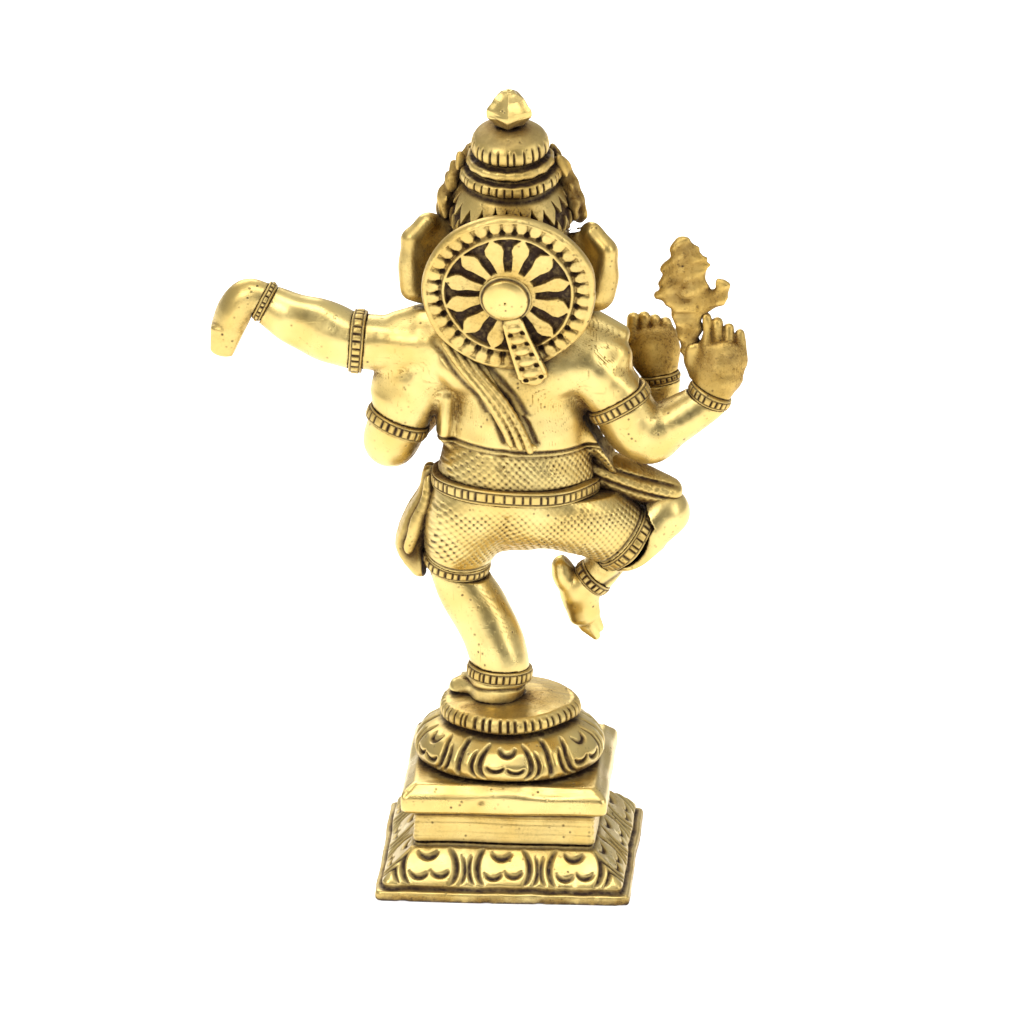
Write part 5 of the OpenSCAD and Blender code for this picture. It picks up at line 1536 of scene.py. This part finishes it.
    def front_right(self) -> None:
        """Makes the arm raised in front with its open palm."""
        s = Sculpt((-27, -15.5, 68.5), (-12.5, -5, 79.5), 0.19)
        s.limb([(*past(ARM_FRONT_R, 0.5), 3.1, 3.1), (*past(ARM_FRONT_R, SLIM_BAND), 3.1, 3.1),
                (-17.4, -10.2, 76.4, 3.1, 3.1), (-18.8, -10.8, 75.2, 2.6, 2.8)])
        s.add(Bone((-17.6, -10.2, 75.8, 3.1, 3.1), (-20.6, -11.0, 72.8, 3.2, 3.2)), blend=0.7)
        s.limb([(-20.6, -11.0, 72.8, 3.2, 3.2), (-22.6, -11.3, 74.8, 3.2, 3.1),
                (-23.4, -11.6, 77.2, 2.8, 2.8), (-23.3, -11.6, 78.4, 2.8, 2.8)])
        start_of(s, ARM_FRONT_R, SLIM_BAND, 5).end(WRIST_FRONT_R.at, WRIST_FRONT_R.away, 5)
        self.foundry.cast(s, "front_right_forearm")
        top = past(WRIST_FRONT_R, SLIM_BAND)
        s = Sculpt((-27.8, -16.5, 77), (-15.5, -9, 90), 0.16)
        s.limb([(*past(WRIST_FRONT_R, 0.4), 2.7, 2.4), (*top, 2.7, 2.4), (-22.4, -12.2, 81.4, 3.9, 2.0),
                (-21.8, -12.5, 84.6, 3.9, 1.7)])
        for f in (-1.5, -0.5, 0.5, 1.5):
            s.add(Bone((-21.8 + 1.9 * f, -12.4, 84.0, 1.2, 1.2),
                       (-21.4 + 1.7 * f, -13.0, 87.6 - 0.5 * abs(f - 0.8), 0.98, 0.98)), blend=0.2)
        s.add(Bone((-18.8, -12.6, 81.0, 1.1, 1.1), (-18.2, -13.4, 84.2, 0.8, 0.8)), blend=0.4)
        start_of(s, WRIST_FRONT_R, SLIM_BAND)
        self.foundry.cast(s, "front_right_hand", Finish.AS_CAST)

    def bands(self) -> None:
        """Makes the ticked bands of the arms."""
        all_bands = {"rear_left_armlet": Band(ARM_REAR_L, WIDE_BAND, 0.55, 1.3, seed=10),
                     "rear_left_bracelet": Band(WRIST_REAR_L, SLIM_BAND, 0.3, 1.0, seed=11),
                     "front_left_armlet": Band(ARM_FRONT_L, WIDE_BAND, 0.45, 1.3, seed=12),
                     "front_left_bracelet": Band(WRIST_FRONT_L, SLIM_BAND, 0.3, 1.0, seed=13),
                     "rear_right_armlet": Band(ARM_REAR_R, WIDE_BAND, 0.5, 1.25, seed=14),
                     "rear_right_bracelet": Band(WRIST_REAR_R, WRIST_BAND, 0.4, 1.1, seed=15),
                     "front_right_armlet": Band(ARM_FRONT_R, SLIM_BAND, 0.3, 1.0, seed=16),
                     "front_right_bracelet": Band(WRIST_FRONT_R, SLIM_BAND, 0.3, 1.0, seed=17)}
        for node, band in all_bands.items():
            self.foundry.fit(band.build(node + "_casting"), node, Finish.CHASED)

    def build(self) -> None:
        """Makes the arms."""
        self.rear_left()
        self.front_left()
        self.sweet()
        self.rear_right()
        self.axe()
        self.front_right()
        self.bands()


# ---- Head -------------------------------------------------------------------------------------------

@dataclass
class Head:
    """Elephant's head with trunk, tusks and ears.

    Attributes:
        foundry: Where the castings are finished.
    """
    foundry: Foundry

    def skull(self) -> None:
        """Makes the head, with its brows, eyes and mouth."""
        s = Sculpt((-12, -14, 90.5), (12, 9.5, 107.5), 0.2)
        s.limb([(0, -0.6, 91.2, 4.6, 4.6), (0, -1.4, 94.6, 8.0, 7.6), (0, -2.2, 98.6, 9.6, 9.8),
                (0, -1.8, 102.6, 9.6, 9.8), (0, -1.4, 106.2, 8.4, 8.6), (0, -1.4, 107.5, 8.2, 8.4)], fine=3)
        for side in (-1, 1):
            s.add(Bone((side * 3.4, -6.4, 103.0, 4.0, 4.0), (side * 4.6, -7.2, 97.6, 3.4, 3.4)), blend=1.4)
            s.add(Bone((side * 2.6, -10.2, 102.2, 0.6, 0.8), (side * 6.8, -8.6, 101.4, 0.6, 0.8), (0, 0, 1)),
                  blend=0.7)
            s.carve(Oval((side * 5.1, -10.7, 99.9), (1.9, 1.3, 1.0), (0, 0, side * 16)), blend=0.4)
            s.add(Oval((side * 5.1, -9.9, 99.9), (1.5, 1.0, 0.72), (0, 0, side * 16)), blend=0.05)
            s.carve(Oval((side * 5.1, -11.0, 99.85), (0.35, 0.35, 0.35)), blend=0.05)
        s.add(Oval((0, -7.8, 93.2), (3.0, 2.6, 1.6)), blend=1.0)
        s.carve(Bone((-2.6, -10.4, 94.2, 0.3, 0.35), (2.6, -10.4, 94.2, 0.3, 0.35), (0, 1, 0)), blend=0.2)
        s.end(NECK.at, (0, 0.1, -1))
        s.end((-0.1, -1.4, 106.6), (0, math.sin(math.radians(8)), math.cos(math.radians(8))))
        self.foundry.cast(s, "head")

    def nose(self) -> None:
        """Makes the trunk, ringed with folds and curled to the figure's left."""
        s = Sculpt((-5.5, -20, 79), (12, -4.5, 105), 0.18)
        path = [(0, -9.6, 100.6, 3.8, 4.0), (0, -12.0, 95.4, 3.6, 3.4), (0.2, -14.0, 90.0, 3.0, 2.9),
                (1.6, -15.2, 85.4, 2.5, 2.4), (4.6, -15.8, 82.4, 2.0, 2.0), (8.2, -16.0, 82.6, 1.6, 1.6),
                (9.4, -16.0, 83.2, 1.4, 1.4)]
        s.limb(path, ref=(0, 1, 0.05))
        s.add(Oval((0, -10.0, 100.2), (4.0, 3.8, 3.6)), blend=1.0)
        s.carve(Oval((10.5, -16.0, 83.8), (0.5, 0.9, 0.8)), blend=0.2)

        def folds(x: Array, y: Array, z: Array) -> Array:
            """Gives the folds round the trunk, 1.9 mm apart, uneven in depth and only on its front."""
            line = bump(((z - x * 0.9 + 0.25 * waves(x, y, z, 5.0, 98)) % 1.9) - 0.95, 0.24)
            deep = 0.75 + 0.25 * waves(x, y, z, 4.0, 99)
            return line * ramp(-y, 9.5, 12.0) * ramp(z, 98.5, 96.5) * deep

        s.chase(folds, 0.28, 0.75)
        self.foundry.cast(s, "trunk")

    def tusks(self) -> None:
        """Makes the whole right tusk and the broken left one."""
        s = Sculpt((-9.5, -17, 90.5), (9.5, -7.5, 97.5), 0.16)
        for side in (-1, 1):
            root = np.array((side * 4.4, -10.2, 95.4))
            knee = root + np.array((side * 0.8, -1.8, -1.6))
            tip = root + np.array((side * 1.6, -4.6, -2.6) if side < 0 else (side * 1.1, -2.8, -2.1))
            s.add(Bone((*root, 1.3, 1.3), (*knee, 1.15, 1.15), (0, 0, 1)),
                  Bone((*knee, 1.15, 1.15), (*tip, 0.6, 0.6), (0, 0, 1)), blend=0.3)

        def collar(x: Array, y: Array, z: Array) -> Array:
            """Gives the line where each tusk leaves the gum."""
            return bump(y + 11.2, 0.22)

        s.chase(collar, 0.25, 0.9)
        self.foundry.cast(s, "tusks")

    def ear(self, side: int, node: str) -> None:
        """Makes one ear.

        Args:
            side: 1 for the figure's left ear and -1 for its right.
            node: Name of the CAD node.
        """
        drop, taper = (0, 0) if side > 0 else (0.7, 0.6)
        low, high = (7.2, 20.0) if side > 0 else (-20.0, -7.2)
        s = Sculpt((low, -5.5, 90), (high, 5.5, 110), 0.2)
        s.limb([(side * 8.0, -1.8, 100.4 - drop, 6.6, 1.7), (side * 12.0, -0.6, 100.6 - drop, 7.4, 1.7),
                (side * 14.2, 0.6, 100.7 - drop, 7.1 - taper / 2, 1.8),
                (side * 15.6, 1.3, 100.8 - drop, 5.8 - taper, 1.6)])
        lobe = 15.4 if side > 0 else 13.9
        s.add(Bone((side * lobe, 1.6, 96.4 - drop, 1.3, 1.5),
                   (side * 15.5, 1.6, 104.6 - drop - taper, 1.3, 1.6)),
              Bone((side * 15.2, 1.6, 105.2 - drop - taper, 1.3, 1.5),
                   (side * 13.0, 0.8, 107.4 - drop - taper, 1.2, 1.4), (0, 1, 0)), blend=1.6)
        s.carve(Oval((side * 13.4, -2.4, 100.2 - drop), (2.6, 1.1, 5.0)), blend=0.9)

        def veins(x: Array, y: Array, z: Array) -> Array:
            """Gives the veins on the front of the ear, 2.6 mm apart."""
            line = bump(((z - 0.3 * np.abs(x)) % 2.6) - 1.3, 0.22)
            return line * ramp(-y, 0.2, 1.0) * ramp(np.abs(x), 14.8, 13.6)

        s.chase(veins, 0.22, 0.7).chase(uneven(5.0, 101), 0.25, 0.1)
        self.foundry.cast(s, node, Finish.CHASED)

    def build(self) -> None:
        """Makes the head."""
        self.skull()
        self.nose()
        self.tusks()
        self.ear(1, "left_ear")
        self.ear(-1, "right_ear")


# ---- Crown ------------------------------------------------------------------------------------------

@dataclass
class Crown:
    """Crown of turned rings with chased leaves, a cap and a bud.

    Attributes:
        foundry: Where the castings are finished.
        at: Middle of its foot.
        lean: How far it leans back, in degrees.
        bell_h: Height of the bell.
        lower_h: Height of the lower ring.
        upper_h: Height of the upper ring.
        cap_h: Height of the cap.
    """
    foundry: Foundry
    at: Point = (-0.1, -1.4, 106.6)
    lean: float = 8.0
    bell_h: float = 8.2
    lower_h: float = 2.4
    upper_h: float = 2.0
    cap_h: float = 5.0

    def place(self, height: float) -> Place:
        """Returns the crown's axis from a height along it."""
        up = np.array((0, math.sin(math.radians(self.lean)), math.cos(math.radians(self.lean))))
        return Place(tuple(np.array(self.at) + up * height), tuple(up), (0, -1, 0))

    def bell(self) -> None:
        """Makes the bell, its collar cut to teeth over a dark border of pointed leaves."""
        profile = [(PEG_HOLE, 0), (9.1, 0), (9.9, 0.8), (10.0, 2.0), (9.6, 3.6), (9.1, 5.0), (8.6, 6.0),
                   (7.9, 7.2), (7.2, self.bell_h), (PEG_HOLE, self.bell_h)]
        teeth = 26

        def relief(p: Spot) -> tuple[Array, Array]:
            """Gives the ground cut away round teeth and leaves, dark, and the leaves set a little back."""
            out = ramp(p.r, 6.6, 7.2)
            index = p.turn / 360 * teeth + 0.12 * waves(p.turn / 10, 0 * p.r, 0 * p.z, 9.0, 22)
            number = np.round(index)
            wide = np.abs(index - number) * 2
            long = 1 + 0.25 * jitter(number % teeth, 23)
            tooth = ramp(p.z - 3.5 / long - 2.4 * wide, -0.1, 0.2)
            leaf_wide = np.abs(index + 0.5 - np.round(index + 0.5)) * 2
            leaf = ramp(1 - (p.z - 0.9) / 2.9 - 1.25 * leaf_wide, 0, 0.2)
            low = ramp(0.9 - p.z, 0, 0.25)
            ground = (1 - np.clip(tooth + leaf + low, 0, 1)) * out
            line = bump(p.z - self.bell_h + 0.5, 0.5) * out
            push = 0.8 * ground + 0.25 * leaf * out + 0.3 * line
            return push, np.clip(np.maximum(1.2 * ground, line), 0, 1)

        tier = Tier(profile, around=760, pitch=0.14, hidden=6.5)
        piece = tier.piece("crown_bell_casting", relief, self.place(0))
        self.foundry.fit(piece, "crown_bell", Finish.CHASED)

    def leaves(self) -> None:
        """Makes the lumpy leaves that stand out round the sides and the front."""
        s = Sculpt((-13.5, -14.5, 103.5), (13.5, 7, 122), 0.2)
        place = self.place(0)
        for k, angle in enumerate((-62, -34, -6, 186, 214, 242, 270)):
            c, n = math.cos(math.radians(angle)), math.sin(math.radians(angle))
            rows = ((10.4, 1.8, 2.2, 1.7), (10.2, 4.2, 2.3, 1.7), (9.5, 6.6, 2.0, 1.5), (8.7, 8.8, 1.5, 1.3),
                    (7.9, 10.6, 1.0, 1.1))
            for m, (r, z, wide, thick) in enumerate(rows):
                off = 0.35 * jitter(np.array(float(k * 7 + m)), 5)
                point = place.put(np.array([[r * c - off * n, r * n + off * c, z]]))[0]
                s.add(Oval(tuple(point), (thick, wide, 1.9), (0, 0, angle)), blend=1.0)

        def gaps(x: Array, y: Array, z: Array) -> Array:
            """Gives the cuts between leaves, 28 degrees apart."""
            return bump(np.arctan2(y + 1.0, x) % 0.49 - 0.245, 0.04) + 0 * z

        s.chase(uneven(1.9, 111), 0.55, 0.6).chase(gaps, 0.5, 0.95)
        up = np.array(place.up)
        for z, r in ((1.0, 9.6), (3.5, 8.9), (6.0, 7.9), (8.8, 7.2), (11.4, 6.4)):
            at = np.array(self.at) + up * z
            s.carve(Oval(tuple(at), (r, r, 2.3), (-self.lean, 0, 0)), blend=0.1)
        self.foundry.cast(s, "crown_leaves", Finish.AS_CAST)

    def ring(self, node: str, r: float, height: float, z: float, pitch: float, seed: int) -> None:
        """Makes one ring, its lower half ticked.

        Args:
            node: Name of the CAD node.
            r: Radius.
            height: Height.
            z: Height of its foot along the crown.
            pitch: Distance between ticks, or a wide one for a plain ring.
            seed: Chooses the unevenness of the ticks.
        """
        profile = [(PEG_HOLE, 0), (r - 0.9, 0), (r - 0.3, 0.2), (r, 0.5), (r - 0.05, height * 0.6),
                   (r - 0.45, height * 0.9), (r - 1.5, height), (PEG_HOLE, height)]
        count = round(2 * math.pi * r / pitch)

        def relief(p: Spot) -> tuple[Array, Array]:
            """Gives the ticks, the line at head and foot, and flats that the file left."""
            rim = ramp(p.r, r - 1.3, r - 0.9)
            cut = ticks(p.turn / 360 * count + 0.01, 1.0, 0.1, seed) * ramp(height * 0.8 - p.z, 0, 0.2) * rim
            cut = cut if pitch < 3 else 0.0 * cut
            line = np.maximum(bump(p.z - height, 0.3), bump(p.z - 0.05, 0.3)) * ramp(p.r, r - 1.9, r - 1.5)
            flats = 0.2 * (np.abs((p.turn + 7 * seed) % 24 / 12 - 1) - 0.5) * rim
            return 0.4 * np.maximum(cut, 0.8 * line) + flats, np.clip(1.3 * np.maximum(cut, line), 0, 1)

        tier = Tier(profile, around=640, pitch=0.13, hidden=4.5)
        self.foundry.fit(tier.piece(node + "_casting", relief, self.place(z)), node, Finish.CHASED)

    def cap(self) -> None:
        """Makes the ribbed cap and the faceted bud on it."""
        z = self.bell_h + self.lower_h + self.upper_h
        profile = [(PEG_HOLE, 0), (5.5, 0), (6.1, 0.5), (6.2, 1.5), (5.95, 2.6), (5.25, 3.6), (3.9, 4.45),
                   (2.15, self.cap_h), (PEG_HOLE, self.cap_h)]
        ribs = 26

        def relief(p: Spot) -> tuple[Array, Array]:
            """Gives the grooves between ribs, the line at the foot, and the skin left at the top."""
            out = ramp(p.r, 2.2, 2.9)
            cut = ticks(p.turn / 360 * ribs + 0.01, 1.0, 0.13, 31) * out
            cut = cut * ramp(3.2 - p.z, 0, 0.9) * ramp(p.z, 0.1, 0.5)
            line = bump(p.z - 0.05, 0.3) * out
            raw = 0.4 * ramp(p.z, 2.9, 3.7) * out
            return 0.4 * cut + 0.3 * line, np.clip(np.maximum(1.3 * np.maximum(cut, line), raw), 0, 1)

        tier = Tier(profile, around=520, pitch=0.13, hidden=2.0)
        piece = tier.piece("crown_cap_casting", relief, self.place(z))
        self.foundry.fit(piece, "crown_cap", Finish.CHASED)
        bud = [(0.4, 0), (2.2, 0), (2.6, 0.6), (3.7, 1.9), (3.6, 2.9), (2.4, 4.7), (0.9, 5.8), (0.1, 6.0),
               (0.1, 0.2)]
        sides = 5

        def facets(p: Spot) -> tuple[Array, Array]:
            """Gives five flat sides with a few dents, dark at the foot."""
            off = np.radians((p.turn + 126) % (360 / sides) - 180 / sides)
            flat = p.r * (1 - math.cos(math.pi / sides) / np.cos(off))
            dent = 0.08 * waves(*p.flat(), p.z, 2.4, 34)
            return 0.9 * flat * ramp(p.r, 0.5, 1.5) + dent * ramp(p.r, 0.5, 1.5), bump(p.z, 0.4)

        tier = Tier(bud, around=240, pitch=0.1, soft=1)
        piece = tier.piece("crown_finial_casting", facets, self.place(z + self.cap_h))
        self.foundry.fit(piece, "crown_finial", Finish.BUFFED)

    def build(self) -> None:
        """Makes the crown."""
        self.bell()
        self.leaves()
        self.ring("crown_lower_ring", 8.1, self.lower_h, self.bell_h, 1.46, 24)
        self.ring("crown_upper_ring", 7.0, self.upper_h, self.bell_h + self.lower_h, 9.0, 25)
        self.cap()


# ---- Wheel behind the head ----------------------------------------------------------------------------

@dataclass
class Wheel:
    """Wheel of petals behind the head, its boss and the ribbon that hangs from it.

    Attributes:
        foundry: Where the castings are finished.
        at: Middle of the wheel's back.
        lean: How far its top leans away from the head, in degrees.
        radius: Its radius.
        thick: Its thickness.
        petals: Number of petals.
        beads: Number of beads in its rim.
        ribbon_lean: Angle of the ribbon from straight down, in degrees.
    """
    foundry: Foundry
    at: Point = (-0.5, 9.0, 99.6)
    lean: float = 12.0
    radius: float = 13.8
    thick: float = 2.3
    petals: int = 12
    beads: int = 34
    ribbon_lean: float = 17.0

    def place(self, out: float = 0.0) -> Place:
        """Returns the wheel's axis from a distance out of its back."""
        angle = math.radians(self.lean)
        up = np.array((0, math.cos(angle), -math.sin(angle)))
        return Place(tuple(np.array(self.at) + up * out), tuple(up), (0, 0, -1))

    def rim(self) -> None:
        """Makes the wheel with its beads and petals."""
        r1, t = self.radius, self.thick
        profile = [(PEG_HOLE, 0), (r1 - 0.7, 0), (r1 - 0.1, 0.5), (r1, t * 0.5), (r1 - 0.1, t - 0.5),
                   (r1 - 0.6, t), (PEG_HOLE, t)]

        def relief(p: Spot) -> tuple[Array, Array]:
            """Gives the petals and beads left standing, the pits between beads, and the dark ground."""
            face = ramp(p.z, t - 0.35, t - 0.1)
            step = 360 / self.petals
            number = np.floor(p.turn / step)
            off = np.radians(p.turn - (number + 0.5 + 0.05 * jitter(number, 51)) * step) * p.r
            wide = np.interp(p.r, (4.3, 6.4, 8.0, 8.9, 9.5, 10.0), (0.62, 0.95, 1.5, 1.4, 0.85, 0.3))
            petal = ramp(wide * (1 + 0.12 * jitter(number, 52)) - np.abs(off), -0.1, 0.08)
            field_in = ramp(p.r, 4.2, 4.4) * ramp(p.r, 10.0, 9.85)
            ground = (1 - petal) * field_in
            bead_turn = p.turn / 360 * self.beads
            bead = np.floor(bead_turn)
            bead_off = (bead_turn - bead - 0.5 + 0.06 * jitter(bead, 53)) * 2 * math.pi * 11.8 / self.beads
            dome = np.clip(1 - (np.abs(bead_off) / 1.0) ** 2.6 - (np.abs(p.r - 12.0) / 1.1) ** 3, 0, 1) ** 0.5
            rim_band = ramp(p.r, 10.5, 10.7) * ramp(p.r, 13.0, 12.75)
            pit_turn = bead_turn - np.round(bead_turn)
            pit_off = pit_turn * 2 * math.pi * 11.0 / self.beads
            pit = np.clip(1.2 - (np.abs(pit_off) / 0.52) ** 2 - (np.abs(p.r - 11.05) / 0.5) ** 2, 0, 1)
            gap = bump(pit_off, 0.2) * ramp(p.r, 10.8, 11.1) * ramp(p.r, 12.7, 11.6)
            ring = bump(p.r - 10.58, 0.16)
            rough = 0.06 * waves(*p.flat(), p.z, 1.3, 55)
            push = 0.8 * ground + rim_band * 0.34 * (1 - dome) + 0.6 * np.clip(pit, 0, 1) * rim_band
            push = push + 0.25 * gap * rim_band + 0.25 * ring + rough
            dark = np.maximum(np.maximum(ground, 1.1 * pit * rim_band), np.maximum(0.5 * gap, 0.4 * ring))
            edge = 0.14 * waves(p.turn / 360 * 88, 0 * p.r, p.z, 9.0, 56) * (1 - face) * ramp(p.r, 12.0, 13.0)
            return push * face + edge, np.clip(dark, 0, 1) * face

        tier = Tier(profile, around=720, pitch=0.13, hidden=3.0)
        self.foundry.fit(tier.piece("wheel_casting", relief, self.place()), "wheel", Finish.CHASED)

    def boss(self) -> None:
        """Makes the polished boss."""
        profile = [(0.05, -0.7), (4.15, -0.7), (4.15, -0.2), (3.95, 0.25), (3.7, 0.4), (3.45, 0.75),
                   (2.4, 1.25), (0.9, 1.45), (0.05, 1.45)]

        def relief(p: Spot) -> tuple[Array, Array]:
            """Gives the line round the foot of the boss."""
            line = bump(p.r - 3.85, 0.2) * ramp(p.z, 0, 0.2)
            return 0.25 * line, np.clip(1.1 * line, 0, 1)

        place = self.place(self.thick)
        at = (place.at[0] + 0.5, place.at[1], place.at[2] - 0.7)
        tier = Tier(profile, around=300, pitch=0.14)
        piece = tier.piece("wheel_boss_casting", relief, Place(at, place.up, place.front))
        self.foundry.fit(piece, "wheel_boss", Finish.BUFFED)

    def ribbon(self) -> None:
        """Makes the ribbon of five links that hangs from the boss."""
        place = self.place(self.thick)
        u, v, w = place.put(np.eye(3)) - np.array(place.at)
        turn = math.radians(self.ribbon_lean)
        across = u * math.cos(turn) + v * math.sin(turn)
        down = u * math.sin(turn) - v * math.cos(turn)
        start = np.array(place.at) + np.array((0.5, 0, -0.7))

        def spot(a: float, d: float, out: float) -> Point:
            """Returns the point at a distance across, down and out of the ribbon."""
            return tuple(start + across * a + down * d + w * out)

        s = Sculpt((-9, 5, 78.5), (4.5, 15, 97.5), 0.15)
        for d in np.linspace(4.0, 14.4, 14):
            half = 1.5 + 0.6 * (d - 4) / 10
            s.add(Wedge(spot(0, d, 0.35), (half, 0.7, 0.6), tuple(w), tuple(across), 0.35), blend=0.4)
        s.add(Oval(spot(0, 14.2, 0.35), (1.9, 0.75, 1.9)), blend=0.5)
        for side in (-1, 1):
            for a, b in ((4.0, 9.0), (9.0, 14.0)):
                wa, wb = 1.4 + 0.06 * (a - 4), 1.4 + 0.06 * (b - 4)
                top, foot = spot(side * wa, a, 0.9), spot(side * wb, b, 0.9)
                s.add(Bone((*top, 0.34, 0.34), (*foot, 0.34, 0.34)), blend=0.12)
        for k in range(5):
            d = 4.9 + 2.15 * k
            s.add(Oval(spot(0, d, 0.95), (1.25 + 0.05 * k, 0.5, 0.82), (0, self.ribbon_lean, 0)), blend=0.08)
            for side in (-1, 1):
                s.carve(Oval(spot(side * (1.0 + 0.06 * k), d + 1.07, 1.0), (0.42, 0.5, 0.34)), blend=0.08)
            s.carve(Oval(spot(0, d + 1.07, 1.25), (0.8, 0.35, 0.16), (0, self.ribbon_lean, 0)), blend=0.05)
        self.foundry.cast(s, "wheel_ribbon", Finish.CHASED)

    def build(self) -> None:
        """Makes the wheel."""
        self.rim()
        self.boss()
        self.ribbon()


# ---- Studio -----------------------------------------------------------------------------------------

@dataclass
class Studio:
    """Pale floor and soft light round the figure, with a long lens behind it.

    Attributes:
        middle: Point that the camera looks at, in millimetres.
        away: Distance of the camera from it, in metres.
        azimuth: Direction of the camera, 0 in front of the figure and 180 behind it.
        elevation: Its angle above the floor.
        lens: Focal length, in millimetres.
        floor_colour: Colour of the floor.
        floor_half: Half the floor's side, in metres.
    """
    middle: Point = (-0.4, 0, 58.85)
    away: float = 3.0
    azimuth: float = 183.5
    elevation: float = 20.0
    lens: float = 666.7
    floor_colour: str = "#F4F4F3"
    floor_half: float = 3.0

    def direction(self) -> Vector:
        """Returns the direction from the figure to the camera."""
        a, e = math.radians(self.azimuth), math.radians(self.elevation)
        return Vector((math.sin(a) * math.cos(e), -math.cos(a) * math.cos(e), math.sin(e)))

    def camera(self) -> None:
        """Makes the camera."""
        data = bpy.data.cameras.new("studio_camera")
        data.lens, data.sensor_width = self.lens, 36.0
        data.clip_start, data.clip_end = 0.05, 20.0
        camera = bpy.data.objects.new("studio_camera", data)
        middle = Vector(self.middle) * MM
        camera.location = middle + self.direction() * self.away
        camera.rotation_euler = (middle - camera.location).to_track_quat("-Z", "Y").to_euler()
        bpy.context.scene.collection.objects.link(camera)
        bpy.context.scene.camera = camera

    def floor(self) -> None:
        """Makes the floor."""
        mesh = bpy.data.meshes.new("studio_floor")
        half = self.floor_half
        mesh.from_pydata([(-half, -half, 0), (half, -half, 0), (half, half, 0), (-half, half, 0)], [],
                         [(0, 1, 2, 3)])
        floor = bpy.data.objects.new("studio_floor", mesh)
        # White paper with a little light of its own, so that it stays pale between the lamps
        material = bpy.data.materials.new("white_paper_sweep")
        node = partial(add, blank(material))
        shade = node("BsdfPrincipled", {"Base Color": linear(self.floor_colour), "Roughness": 0.9})
        glow = node("Emission", {"Color": (1, 1, 1, 1), "Strength": 0.75})
        node("OutputMaterial", {"Surface": node("AddShader", (shade, glow))})
        mesh.materials.append(material)
        bpy.context.scene.collection.objects.link(floor)

    def lamp(self, name: str, at: Point, size: tuple[float, float], power: float) -> None:
        """Makes a soft box that faces the figure.

        Args:
            name: Its name.
            at: Its place in metres.
            size: Its width and height in metres.
            power: Its power in watts.
        """
        data = bpy.data.lights.new(name, "AREA")
        data.shape, data.size, data.size_y = "RECTANGLE", size[0], size[1]
        data.energy = power
        lamp = bpy.data.objects.new(name, data)
        lamp.location = at
        lamp.rotation_euler = (Vector(self.middle) * MM - Vector(at)).to_track_quat("-Z", "Y").to_euler()
        bpy.context.scene.collection.objects.link(lamp)

    def surroundings(self) -> None:
        """Makes the pale room, darker behind the camera where the studio is unlit."""
        world = bpy.data.worlds.new("studio")
        bpy.context.scene.world = world
        node = partial(add, blank(world))
        ray = node("TexCoord", out="Generated")
        near = tuple(self.direction())
        aim = node("VectorMath", (ray, near), out="Value", operation="DOT_PRODUCT")
        dark = node("MapRange", (aim, 0.6, 0.98, 1.0, 0.2), interpolation_type="SMOOTHSTEP")
        high = node("MapRange", (node("SeparateXYZ", (ray,), out="Z"), -0.1, 0.8, 0.32, 0.75))
        strength = node("Math", (dark, high), **TIMES)
        seen = node("LightPath", out="Is Camera Ray")
        strength = node("Mix", {"Factor": seen, 2: strength, 3: 1.0}, data_type="FLOAT")
        node("OutputWorld", {"Surface": node("Background", {"Color": (1, 1, 1, 1), "Strength": strength})})

    def build(self) -> None:
        """Makes the studio."""
        self.camera()
        self.floor()
        self.surroundings()
        self.lamp("left_softbox", (0.5, 0.75, 0.75), (0.6, 0.6), 4.6)
        self.lamp("right_softbox", (-0.85, 0.4, 0.5), (0.35, 0.7), 2.2)
        self.lamp("top_softbox", (0.0, 0.3, 1.1), (0.7, 0.5), 3.2)
        self.lamp("low_softbox", (0.15, 1.0, 0.12), (0.7, 0.16), 0.8)
        self.lamp("front_softbox", (0.3, -0.9, 0.7), (0.8, 0.6), 4.5)
        scene = bpy.context.scene
        scene.view_settings.view_transform = "Standard"
        scene.view_settings.look = "None"


# ---- Whole figure ------------------------------------------------------------------------------------

def main() -> None:
    """Makes the figure round the frame, and the studio it stands in."""
    logging.basicConfig(level=logging.INFO, format="%(message)s")
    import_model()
    Studio().build()
    foundry = Foundry()
    for part in (Pedestal, Legs, Body, Arms, Head, Crown, Wheel):
        part(foundry).build()
        LOG.info("%s done", part.__name__)


if __name__ == "__main__":
    main()
